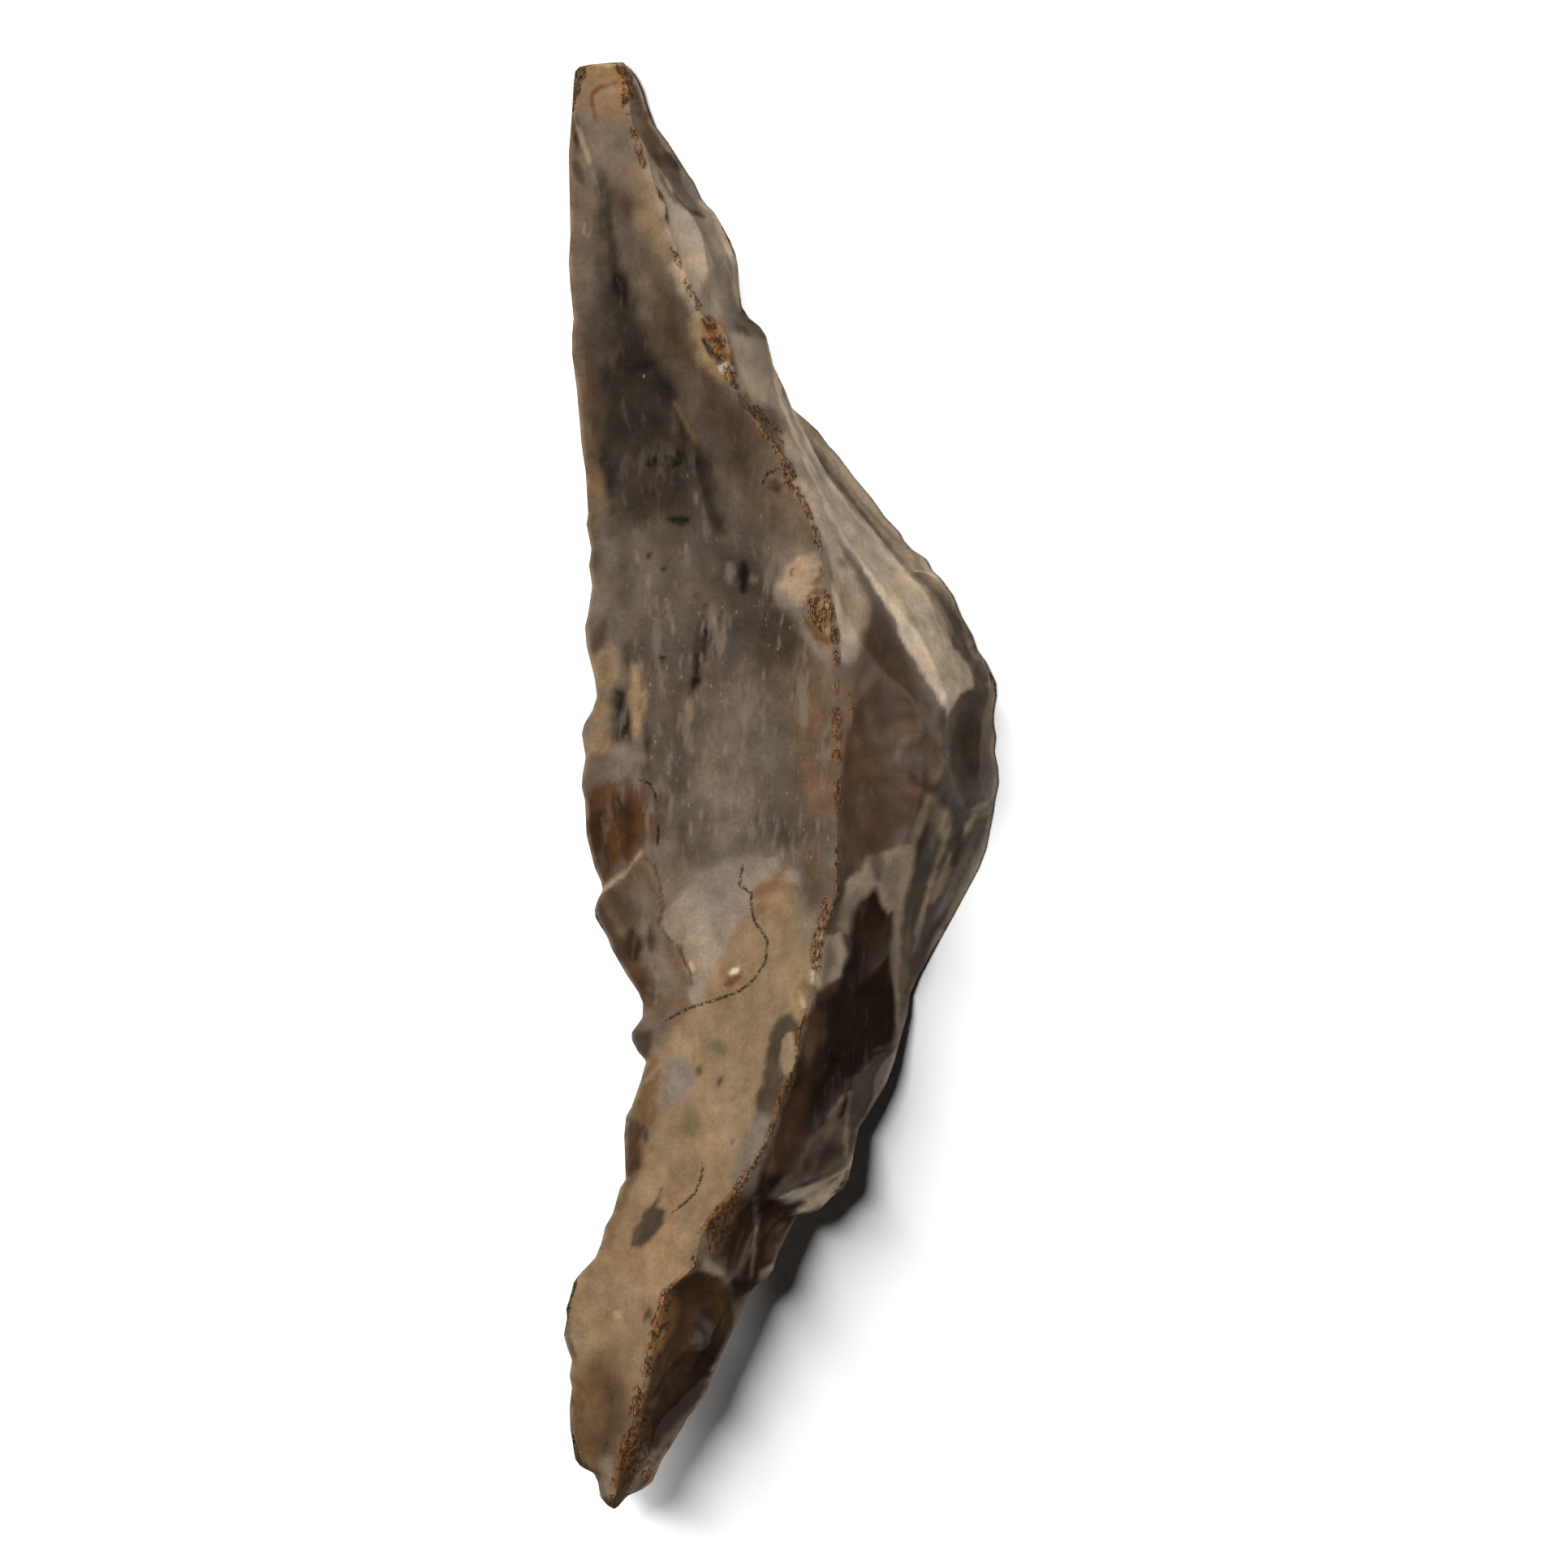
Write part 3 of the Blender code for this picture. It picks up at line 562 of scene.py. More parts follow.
    ("beige of the strip", "flank tan", 14, 0.9, 16, (826, 262), (850, 320), (880, 372)),
    ("brown top of the strip", "deep tan", 10, 0.85, 11, (784, 110), (800, 160), (822, 205),
     (845, 235)),
    ("dark brown of the strip", "brown", 7, 0.7, 6, (798, 168), (806, 190), (812, 205)),
    ("tan of the strip", "pale flank", 16, 0.35, 12, (840, 270), (855, 310), (880, 380)),
    ("crescent", "lilac", 4, 0.9, 0, (812, 185), (836, 196), (856, 225), (868, 262), (850, 258),
     (828, 235), (816, 210)),
    ("brown in the crescent", "brown", 5, 0.9, 5, (820, 190), (838, 208)),
    ("shade under the notch", "brown grey", 6, 0.8, 6, (912, 372), (925, 395), (938, 412)),
    ("brown flecks by the notch", "brown", 6, 0.6, 6, (908, 402), (922, 412)),
    ("crest halo of the pit", "tan", 11, 0.95, 0, (855, 380), (880, 386), (905, 420), (918, 458),
     (912, 482), (886, 470), (864, 440), (852, 410)),
    ("beige above the pit", "pale flank", 14, 0.9, 17, (838, 330), (862, 356), (882, 386)),
    ("beige edge of the strip", "pale flank", 8, 0.85, 10, (866, 250), (880, 280), (890, 310)),
    ("warm slope beside the pit", "pale flank", 12, 0.8, 14, (908, 418), (922, 450), (936, 492)),
    ("warm top of the strip", "deep tan", 12, 0.6, 14, (790, 130), (806, 180), (830, 222)),
    ("orange of the pit", "crust tan", 6, 1, 0, (863, 390), (880, 394), (898, 424), (910, 456),
     (904, 468), (886, 450), (868, 420)),
    ("pale end of the pit", "arris", 3, 1, 6, (888, 450), (899, 456)),
    ("pit slit", "black grey", 3, 1, 4, (866, 420), (878, 438), (889, 447)),
    ("coil of the pit", "dark brown", 2, 0.9, 2, (866, 396), (872, 408), (882, 404)),
    ("second coil of the pit", "dark brown", 2, 0.9, 2, (876, 416), (884, 424), (892, 420)),
    # wing; the grey valley in it is painted shade between the flutes, and the pale crests, the
    # flutes, the slivers of the strip and the bright flute are painted highlights along their
    # arrises
    ("wing flank", "flank tan", 9, 1, 0, (950, 480), (972, 500), (1010, 530), (1070, 605),
     (1130, 680), (1170, 730), (1210, 810), (1180, 830), (1120, 760), (1060, 700), (1005, 640),
     (965, 560)),
    ("grey valley of the wing", "slate", 5, 0.75, 3, (985, 530), (1015, 575), (1045, 610),
     (1080, 655), (1110, 690)),
    ("pale crests of the wing", "pale flank", 5, 0.9, 4, (962, 490), (985, 545), (1015, 600),
     (1050, 645), (1090, 690), (1112, 715)),
    ("first flute", "arris", 1.8, 0.85, 2.4, (944, 418), (950, 440), (958, 474), (968, 506),
     (981, 540), (996, 578), (1012, 610)),
    ("second flute", "arris", 1.6, 0.8, 2.0, (956, 448), (966, 474), (980, 510), (996, 548),
     (1016, 588), (1040, 622), (1066, 655)),
    ("third flute", "bone", 1.6, 0.6, 1.6, (950, 426), (962, 452), (976, 484), (994, 520)),
    ("pale sliver of the strip", "arris", 3, 0.75, 3.2, (866, 250), (882, 276), (896, 306),
     (907, 340), (912, 376)),
    ("thin sliver beside it", "bone", 1.6, 0.6, 1.6, (886, 284), (894, 320), (903, 352),
     (912, 384)),
    ("brown of the crescent scar", "brown", 6, 0.6, 8, (808, 192), (828, 196), (846, 206)),
    ("brown rim of the crescent scar", "scar brown", 3, 0.75, 2.6, (812, 214), (820, 232),
     (836, 250), (852, 262), (868, 268)),
    ("bright flute of the wing", "arris", 7, 0.3, 7, (982, 522), (1008, 585), (1040, 640),
     (1078, 690)),
    ("outer strip of the wing", "flank tan", 6, 0.9, 6, (985, 515), (1020, 552), (1070, 615),
     (1115, 672), (1150, 708), (1180, 760)),
    ("grey of the lower wing", "slate", 7, 0.8, 8, (1130, 708), (1158, 740), (1178, 776),
     (1192, 812)),
    ("brown wing edge", "edge brown", 9, 0.6, 6, (1200, 800), (1212, 830), (1216, 850)),
    ("tan edge of the wing", "flank tan", 5, 0.75, 6, (1222, 845), (1226, 890), (1228, 940),
     (1222, 985)),
    ("slope right of the crest", "pale flank", 10, 1, 0, (960, 540), (985, 555), (1005, 610),
     (1035, 690), (1045, 730), (1020, 690), (1000, 640)),
    ("pale oval right of the crest", "pale flank", 6, 0.9, 0, (1024, 680), (1048, 692),
     (1066, 722), (1076, 766), (1070, 800), (1048, 824), (1036, 812), (1030, 750)),
    ("shade by the band", "flank slate", 8, 0.8, 6, (1046, 690), (1064, 718), (1082, 750)),
    ("tongue by the oval", "flank slate", 9, 0.75, 9, (1082, 735), (1092, 775), (1110, 820)),
    ("grey finger in the oval", "flank grey", 4, 0.7, 3, (1036, 730), (1042, 780)),
    ("olive top of the oval", "olive", 5, 0.6, 4, (1034, 690), (1042, 700)),
    # brown right facet
    ("brown right facet", "flank brown", 12, 1, 0, (1035, 820), (1060, 800), (1080, 740),
     (1110, 790), (1150, 870), (1166, 930), (1150, 980), (1125, 1020), (1060, 1060), (1036, 1100)),
    ("grey top of the facet", "flank umber", 14, 0.8, 14, (1085, 760), (1110, 820)),
    ("grey of the upper facet", "flank umber", 20, 0.5, 18, (1075, 850), (1100, 880)),
    ("grey drift in the facet", "flank umber", 18, 0.6, 14, (1120, 860), (1145, 895)),
    ("amber zone", "warm brown", 16, 1, 20, (1054, 850), (1060, 930), (1058, 985), (1050, 1045)),
    ("amber deep", "crust brown", 16, 0.25, 14, (1068, 920), (1076, 970)),
    ("warm side of the crest", "warm brown", 16, 0.4, 15, (1006, 830), (1010, 920), (1006, 1000),
     (1004, 1070)),
    ("brown under the plume", "dark brown", 9, 0.5, 9, (1120, 945), (1140, 965)),
    ("plume", "flank grey", 5, 0.35, 3, (1104, 935), (1112, 915), (1135, 905)),
    ("pale stroke", "mist", 3, 0.4, 2, (1062, 965), (1056, 1010)),
    ("olive stain at the corner", "olive", 5, 0.7, 5, (1145, 968), (1152, 978)),
    # right edge
    ("dark shoulder scar", "flank slate", 9, 0.95, 0, (1172, 880), (1195, 850), (1224, 845),
     (1226, 925), (1228, 975), (1200, 1002), (1186, 998), (1174, 955), (1168, 915)),
    ("darkest of the scar", "flank umber", 16, 0.8, 13, (1196, 890), (1205, 955)),
    ("tan rim of the scar", "deep tan", 8, 0.7, 4, (1224, 850), (1225, 920), (1229, 960)),
    ("striped flank", "flank slate", 6, 1, 0, (1168, 975), (1190, 1003), (1226, 985), (1214, 1050),
     (1160, 1155), (1120, 1235), (1108, 1282), (1100, 1200), (1108, 1110), (1125, 1040),
     (1140, 1000)),
    ("pale edge of the flank", "flank grey", 4, 0.35, 3, (1225, 990), (1212, 1045), (1190, 1092),
     (1150, 1165)),
    ("tan stripe of the flank", "flank tan", 4, 0.8, 3, (1172, 1010), (1150, 1080), (1128, 1150)),
    ("pale stripe of the flank", "pale flank", 5, 0.7, 4, (1200, 1005), (1175, 1050),
     (1150, 1110)),
    ("second tan stripe", "tan", 4, 0.6, 3, (1122, 1120), (1116, 1180), (1110, 1250)),
    ("dark stripe of the flank", "flank umber", 4, 0.8, 3, (1150, 990), (1135, 1040),
     (1120, 1100)),
    ("olive lozenge", "olive", 3, 0.9, 0, (1186, 1018), (1188, 1032), (1178, 1068), (1170, 1068),
     (1174, 1040)),
    ("pale left edge of the flank", "flank tan", 5, 0.75, 5, (1142, 985), (1124, 1045),
     (1110, 1110), (1104, 1180), (1106, 1270)),
    ("pale top of the flank", "flank tan", 8, 0.6, 9, (1152, 985), (1166, 1025)),
    # dark facets; the dark facet's umber is partly the stone's own dark brown and partly painted
    # shade, on a side that faces away from the window
    ("dark facet", "dark umber", 5, 1, 0, (1075, 1093), (1086, 1105), (1100, 1125), (1098, 1180),
     (1104, 1240), (1106, 1282), (1080, 1292), (1055, 1322), (1045, 1370), (1010, 1390),
     (975, 1440), (950, 1470), (930, 1470), (955, 1390), (975, 1330), (990, 1270), (1005, 1225),
     (1035, 1205), (1045, 1170), (1050, 1130)),
    ("pale right edge of the facet", "flank grey", 7, 0.7, 8, (1112, 1262), (1106, 1310),
     (1094, 1350), (1078, 1378)),
    ("warm top of the dark facet", "umber", 18, 0.9, 16, (1070, 1120), (1078, 1200)),
    ("brown slope under the crest", "amber", 14, 0.95, 9, (1005, 1250), (992, 1320), (975, 1380),
     (950, 1440)),
    ("brown at the foot of the facet", "flank brown", 14, 0.7, 10, (1010, 1400), (985, 1440)),
    ("tan slash", "tan", 4, 0.75, 4, (1038, 1352), (1025, 1375), (1018, 1400)),
    ("grey slash", "flank slate", 4, 0.8, 5, (1030, 1395), (1005, 1435)),
    ("wedge above the dark facet", "flank tan", 5, 1, 0, (1036, 1110), (1060, 1072), (1068, 1055),
     (1120, 1040), (1128, 1050), (1112, 1110), (1094, 1124), (1080, 1092), (1050, 1120),
     (1044, 1150), (1032, 1140)),
    ("pale drip", "pale flank", 4, 0.8, 6, (1056, 1078), (1040, 1112)),
    ("pale drip on the right", "flank grey", 4, 0.8, 8, (1104, 1060), (1094, 1105)),
    ("brown notch in the wedge", "flank brown", 6, 0.7, 8, (1080, 1055), (1082, 1080)),
    ("tan lump", "pale flank", 4, 1, 0, (1012, 1148), (1036, 1150), (1045, 1175), (1037, 1202),
     (1015, 1218), (998, 1208), (1004, 1180)),
    ("orange of the lump", "orange tan", 6, 0.55, 5, (1020, 1160), (1024, 1185), (1016, 1204)),
    ("brown rim of the lump", "edge brown", 4, 0.7, 2.5, (1040, 1152), (1048, 1176), (1038, 1204),
     (1018, 1218)),
    ("brown foot of the lump", "amber", 6, 0.8, 5, (1030, 1210), (1012, 1228)),
    ("crest chip", "bone", 2, 0.8, 2, (984, 1218), (991, 1240)),
    ("brown of the chip", "orange tan", 4, 0.8, 4, (990, 1210), (1000, 1218)),
    # lower right scar and the lip
    ("lower right scar", "flank slate", 5, 1, 0, (1105, 1288), (1100, 1320), (1076, 1365),
     (1058, 1392), (1050, 1420), (1043, 1420), (1045, 1370), (1055, 1325), (1075, 1296)),
    ("brown brow of the scar", "dark brown", 4, 0.9, 4, (1102, 1289), (1075, 1298), (1058, 1318)),
    ("tan edge of the scar", "flank tan", 3, 0.6, 2, (1047, 1345), (1043, 1385), (1042, 1420)),
    ("lip", "pale flank", 5, 1, 0, (957, 1474), (1000, 1457), (1043, 1438), (1050, 1425),
     (1044, 1455), (1025, 1474), (1000, 1492), (982, 1494), (985, 1480)),
    # the white step is a painted highlight on the edge of the lip
    ("white step", "arris", 2, 1, 0, (966, 1472), (986, 1461), (1004, 1456), (1008, 1462),
     (980, 1475)),
    ("shade over the lip", "umber", 9, 0.75, 9, (975, 1450), (1000, 1435), (1030, 1415)),
    ("dark pocket", "soot", 6, 0.95, 0, (932, 1470), (960, 1478), (988, 1480), (975, 1492),
     (935, 1496)),
    # fan and foot flank
    ("fan", "umber", 7, 1, 0, (905, 1475), (935, 1470), (980, 1495), (958, 1552), (925, 1590),
     (905, 1600), (895, 1560), (880, 1545), (895, 1510)),
    ("brown side of the fan", "flank brown", 6, 0.8, 9, (962, 1505), (945, 1550)),
    ("tan foot of the fan", "flank tan", 5, 0.8, 7, (950, 1560), (938, 1572)),
    ("shade of the fan", "umber", 7, 0.6, 6, (908, 1490), (895, 1540)),
    ("brown crest oval", "rust", 6, 1, 12, (905, 1475), (885, 1505), (876, 1530)),
    ("pale between the scars", "flank tan", 7, 0.9, 6, (872, 1555), (886, 1565)),
    ("round scar", "scar brown", 4, 1, 0, (858, 1562), (886, 1568), (900, 1590), (904, 1620),
     (895, 1660), (870, 1715), (840, 1745), (800, 1790), (785, 1760), (795, 1720), (806, 1680),
     (815, 1640), (818, 1600), (835, 1575)),
    ("amber of the round scar", "amber", 12, 0.9, 11, (852, 1590), (842, 1630), (826, 1690)),
    ("dark of the round scar", "soot", 14, 0.8, 14, (872, 1610), (872, 1650), (856, 1700),
     (828, 1745), (806, 1775)),
    ("amber glow in the scar", "amber", 10, 0.5, 9, (850, 1650), (838, 1690), (818, 1735)),
    ("crumbly side of the scar", "crust tan", 7, 0.85, 10, (824, 1588), (818, 1625), (812, 1655)),
    ("pale dash in the scar", "deep tan", 4, 0.7, 3, (834, 1605), (830, 1618)),
    ("pale dash below", "deep tan", 5, 0.8, 4, (812, 1715), (802, 1728)),
    ("brown of the foot crest", "rust", 7, 0.9, 9, (795, 1740), (782, 1770), (772, 1800),
     (762, 1838)),
    ("grey lumps of the foot", "flank grey", 5, 0.6, 7, (800, 1785), (785, 1815)),
    ("dark right edge of the foot", "edge brown", 4, 0.8, 3, (862, 1722), (832, 1765), (806, 1812),
     (780, 1838)),
    # fossil beside the crest
    ("halo of the fossil", "lilac", 9, 0.85, 0, (965, 690), (985, 668), (1010, 680), (1020, 720),
     (1028, 800), (1022, 820), (1000, 800), (985, 765), (955, 745), (952, 722)),
    ("fossil", "cream", 4, 1, 0, (968, 700), (984, 688), (1000, 684), (1012, 692), (1013, 712),
     (1000, 722), (1004, 736), (990, 742), (976, 748), (962, 736), (956, 722), (968, 714)),
    ("lobe of the fossil", "lilac grey", 5, 0.8, 7, (958, 728), (970, 742), (984, 746)),
    ("veins of the fossil", "crust brown", 1.5, 0.8, 1.3, (974, 712), (976, 702), (988, 698)),
    ("second vein", "crust brown", 2, 0.6, 1.5, (992, 722), (1004, 718), (1014, 708)),
    ("orange of the fossil", "orange tan", 5, 0.9, 0, (996, 738), (1014, 732), (1024, 765),
     (1026, 800), (1012, 798), (994, 768)),
    ("pale lump of the fossil", "cream", 3, 0.9, 5, (1014, 745), (1018, 752)),
    ("pale grains of the fossil", "bone", 2, 0.8, 3, (1016, 776), (1022, 780)),
    ("bright bar of the fossil", "bone", 2.5, 0.9, 2.5, (984, 700), (1010, 699)),
    ("shade of the fossil", "rust", 4, 0.8, 3, (1000, 732), (1016, 730)),
    ("second shade of the fossil", "rust", 4, 0.8, 3, (990, 764), (1008, 786), (1022, 792)),
    ("round brown spot", "brown", 5, 0.9, 12, (955, 597), (957, 604)),
    ("heart of the brown spot", "dark brown", 6, 0.6, 5, (958, 604), (959, 608)),
    # marks at the upper tip
    ("stain arc at the tip", "crust brown", 3, 0.9, 2, (768, 100), (752, 104), (738, 108),
     (729, 116), (729, 130)),
    ("stain tail", "crust brown", 2.5, 0.7, 1.6, (730, 130), (733, 145), (736, 152)),
    ("pale spot in the arc", "lilac grey", 7, 0.8, 7, (752, 108), (754, 113)),
    ("dark hole at the tip", "dark brown", 3, 1, 4, (776, 112), (780, 120)),
    ("brown crest at the tip", "crust tan", 5, 0.9, 8, (764, 84), (774, 98), (774, 126)),
    ("veins at the tip", "dark brown", 2, 0.8, 1.5, (767, 132), (774, 122), (784, 118)),
    ("vein under the tip", "dark brown", 2, 0.7, 1.4, (772, 141), (782, 140), (790, 143)),
    # painted highlights: the bright slivers and edges below are lit where they face the light
    ("bright sliver at the tip", "bone", 3, 0.9, 3, (782, 100), (790, 118), (795, 134)),
    ("bright top edge", "bone", 2, 0.9, 2, (735, 80), (770, 79)),
    ("bright sliver under the tip", "bone", 3, 0.8, 2.5, (800, 150), (816, 172), (832, 196)),
    ("bright edge of the strip", "bone", 4, 0.8, 3.5, (870, 256), (886, 280), (902, 310)),
    ("bright edge of the notch", "cream", 3, 0.7, 2.5, (905, 330), (911, 362)),
    ("bright upper crest of the wing", "cream", 3, 0.8, 2, (945, 425), (954, 470), (972, 510),
     (990, 550)),
    # faint arrises, painted as pale lines of highlight, with a few curls, slits, cracks, dots,
    # pits, stains and grains among them
    ("arris under the lip", "flank grey", 3, 0.5, 1.5, (930, 1470), (932, 1510), (924, 1580)),
    ("arris of the shoulder scar", "flank grey", 3, 0.6, 2, (1168, 880), (1165, 912), (1168, 945),
     (1178, 975), (1190, 1000)),
    ("arris under the shoulder scar", "flank grey", 3, 0.6, 2, (1190, 1003), (1208, 994),
     (1226, 984)),
    ("arris of the flank", "flank grey", 3, 0.6, 2, (1140, 1000), (1122, 1045), (1106, 1110),
     (1100, 1180), (1105, 1240), (1108, 1280)),
    ("arris by the tip", "bone", 3, 0.6, 2, (705, 128), (708, 150), (717, 175), (726, 200)),
    ("arris below it", "lilac grey", 4, 0.5, 2, (717, 170), (728, 205), (742, 250)),
    ("curl", "lilac grey", 1.5, 0.7, 1.2, (720, 276), (718, 285), (722, 291), (726, 289)),
    ("dark slit of the notch", "dark brown", 2, 0.8, 1.5, (912, 368), (918, 384), (928, 396)),
    ("brown crack of the hollow", "scar brown", 1.6, 0.9, 1.5, (794, 1056), (806, 1066),
     (812, 1084), (816, 1118), (812, 1138), (824, 1158), (836, 1164), (843, 1184), (850, 1196),
     (852, 1212)),
    ("white dot", "bone", 1, 0.6, 0.8, (793, 463), (793, 465)),
    ("arris of the left hollow", "bone", 3, 0.7, 2, (740, 1100), (752, 1088), (772, 1074),
     (792, 1048)),
    ("second arris of the hollow", "lilac grey", 3, 0.7, 2, (800, 1185), (810, 1205), (808, 1235)),
    ("arris over the left nicks", "lilac grey", 3, 0.6, 2, (778, 1340), (798, 1330), (812, 1312)),
    ("brown pit on the tan", "crust brown", 3, 0.85, 4.5, (894, 1212), (904, 1206), (912, 1200)),
    ("stain round the pit", "deep tan", 8, 0.45, 9, (892, 1188), (902, 1202)),
    ("white grain in that pit", "arris", 2, 0.9, 4, (902, 1198), (909, 1192)),
)
CRUST_PATCHES = patches(
    ("crumbly pit of the crest", "rust", 5, 0.45, 0, (866, 390), (880, 395), (900, 430),
     (910, 465), (896, 470), (878, 440), (866, 415)),
    ("rough crest below it", "rust", 7, 0.8, 8, (918, 490), (935, 510), (958, 545), (974, 600)),
    ("rough crest by the lump", "rust", 6, 0.9, 7, (1018, 1110), (1008, 1150), (1006, 1190)),
    ("crumbly tip", "rust", 4, 0.9, 5, (766, 86), (776, 100), (780, 118)),
    ("crumbly crest oval", "rust", 7, 1, 13, (900, 1482), (884, 1510), (877, 1532)),
    ("crumbly side of the round scar", "rust", 5, 0.7, 8, (824, 1588), (815, 1640)),
    ("crumbly foot", "rust", 8, 1, 14, (792, 1750), (782, 1790), (768, 1825)),
    ("crumbly edge of the foot", "rust", 5, 0.7, 6, (800, 1795), (795, 1822)),
    ("crumbly fossil", "rust", 6, 0.7, 9, (1004, 738), (1012, 775)),
    ("crumbly track by the crest", "rust", 4, 0.7, 4, (1046, 855), (1052, 900)),
)

# The cream band on the wing ends sharply; thin dark lines cross the stone, and pale lines on the
# arrises are painted highlights
CREAM_BAND = (
    (1008, 608), (1030, 606), (1060, 640), (1092, 676), (1114, 706), (1134, 722), (1154, 762),
    (1174, 800), (1192, 814), (1200, 846), (1182, 856), (1168, 878), (1155, 862), (1134, 828),
    (1112, 790), (1092, 744), (1056, 692), (1022, 640),
)
DARK_LINES = (
    ((915, 1068), (911, 1090), (926, 1100), (926, 1118), (930, 1135), (946, 1158), (943, 1185),
     (930, 1205), (912, 1220), (880, 1232), (850, 1241), (822, 1256)),
    ((866, 1434), (865, 1446), (858, 1465), (846, 1478), (830, 1490)),
    ((790, 962), (800, 965), (807, 976), (808, 986)),
    ((940, 596), (946, 584), (958, 580)),
    ((811, 1020), (810, 1040)),
    ((912, 372), (916, 386), (928, 398)),
)
# pale lines: painted highlights along the arrises of the wing's flutes, the step on its edge and
# the lip
ARRIS_HIGHLIGHTS = (
    ((945, 418), (950, 440), (957, 480), (971, 517), (985, 549), (1004, 582), (1022, 612)),
    ((969, 488), (983, 521), (1000, 555), (1022, 592), (1046, 627), (1070, 655), (1090, 680)),
    ((1130, 703), (1144, 706), (1156, 712)),
    ((960, 1474), (985, 1464), (1012, 1456), (1042, 1440)),
)
# A line's distance is kept up to this many pixels
LINE_REACH = 12

# The colours wander: in the cream band, on the struck face, from cold to warm, and underneath
BAND_EDGE = (2.0, -2.0)
BAND_WANDER = (Lumps(3, 17, 31), Lumps(1.5, 7, 32))
BAND_MOTTLING = (Lumps(0.10, 24, 33),)
MOTTLING = (
    Lumps(0.13, 44, 41), Lumps(0.10, 17, 42), Lumps(0.07, 15, 43, 1.8, 0.6),
    Lumps(0.06, 6.5, 44, 1.4, 0.8),
)
WARMTH = (Lumps(0.05, 30, 45), Lumps(0.03, 9, 46))
WARM_TINT = np.array((1.0, 0.1, -1.0))
UNDERSIDE_MOTTLING = (Lumps(0.22, 120, 51), Lumps(0.14, 40, 52), Lumps(0.08, 14, 53, 2, 0.5))
# The colours are as they look in the light; this share of them is the stone's own
STONE_TINT = np.array((0.50, 0.487, 0.463))
# Patches: how soft they all are, the room round one, and how a streak narrows at its ends
SOFTNESS = 0.9
PATCH_ROOM = 6
STREAK_FULLNESS, STREAK_ROUNDING = 1.15, 0.7
STREAK_START, STREAK_END = 0.12, 0.88
# The underside's colour begins this far in from the rim, and is whole at the second place
RIM_BLEND = (6, 46)
RIM_DEEPEST = 60

# Brown specks come up on the tan and pale flecks in the middle of the left face: the pixels
# down, across, or across from the crest between which they come up, and how many there are
TAN_DOWN, TAN_OFF_CREST = (1040, 1180), (20, -20)
MIDDLE_START, MIDDLE_END = (560, 760), (1120, 1010)
MIDDLE_OFF_CREST, MIDDLE_ACROSS = (24, -12), (730, 790)
FEWEST_FLECKS, MOST_FLECKS = 0.12, 1.0
FEWEST_SPECKS, MOST_SPECKS = 0.15, 0.70

# The stone's finer markings: how many lumps or points there are in a metre
FINE, CLOUD, STREAK = 2600, 420, 1500
WISP, LONG_FLECK, SMALL_FLECK, SPECK = 620, 780, 2100, 1700
CRUMBLE, CRACK, CRUST_GRAIN, LINE_DOT = 1300, 1500, 3600, 3800
# Edges and cores: of the spots, the thin lines in pixels, the lines' ends and the painted glow at
# the thin rim
SPOT_EDGE = 0.34
DARK_LINE, ARRIS_HIGHLIGHT_EDGE, LINE_END = (2.8, 1.0), (2.2, 0.4), (5.0, 3.5)
RIM_GLOW = (7.0, 0.5)
ROUGHNESS = 0.44
BUMP_STRENGTH, BUMP_DEPTH = 0.55, 0.00012
FLINT_IOR, FLINT_SHEEN = 1.54, 0.30

TABLE_HALF = 1.5
TABLE_COLOUR = (0.99, 0.99, 0.99)
TABLE_ROUGHNESS = 0.9
CAMERA_HEIGHT = 2.4
SENSOR = 36

# The window, once for the stone and once for the table: where it stands, how wide and tall
WINDOW_AWAY = 1.3
WINDOW_FROM, WINDOW_SIZE = (-0.95, 0.30, 1.27), (0.20, 0.95)
WINDOW_STRENGTH = 5.4
TABLE_FROM, TABLE_WINDOW = (-0.90, 0.52, 1.16), (0.20, 1.3)
TABLE_SHARE = 1.35
# The weak lights: from where and how strong, and the light from all round
TOP_FROM, TOP_STRENGTH = (-0.05, 0.7, 0.71), 0.5
RIGHT_FROM, RIGHT_STRENGTH = (0.75, 0.30, 0.90), 1.5
SOFT_WIDTH = np.radians(60)
FILL_STRENGTH = 0.012


def outline_distance(corners, across, down, closed):
    """Signed distance to a line of corners: negative inside a closed one, or on its right."""
    nearest = np.full(across.shape, np.inf)
    side = np.ones(across.shape)
    inside = np.zeros(across.shape, dtype=bool)
    ends = corners[1:] + corners[:1] if closed else corners[1:]
    for (x, y), (next_x, next_y) in zip(corners, ends):
        dx, dy = next_x - x, next_y - y
        right, below = across - x, down - y
        share = np.clip((right * dx + below * dy) / (dx * dx + dy * dy), 0, 1)
        away = np.hypot(right - share * dx, below - share * dy)
        closer = away < nearest
        side = np.where(closer, np.sign(right * dy - below * dx), side)
        nearest = np.where(closer, away, nearest)
        if dy:
            inside ^= ((y > down) != (next_y > down)) & (right < below * dx / dy)
    return nearest * (np.where(inside, -1, 1) if closed else side)


def patch_cover(patch, across, down):
    """How much a patch covers each place; its edge wanders a little."""
    cover = np.zeros(across.shape)
    places = np.array(patch.corners, dtype=float)
    soft = SOFTNESS * patch.soft
    reach = patch.half_width + 2 * soft + PATCH_ROOM
    low, high = places.min(axis=0) - reach, places.max(axis=0) + reach
    near = (across > low[0]) & (across < high[0]) & (down > low[1]) & (down < high[1])
    x, y = across[near], down[near]
    if not x.size:
        return cover
    away = outline_distance(patch.corners, x, y, patch.half_width == 0)
    if patch.half_width:
        away = np.abs(away) - patch.half_width * narrowing(places, x, y)
    share = between(soft, -soft, away + field(edge_wander(soft), x, y))
    cover[near] = patch.cover * share * share * (3 - 2 * share)
    return cover


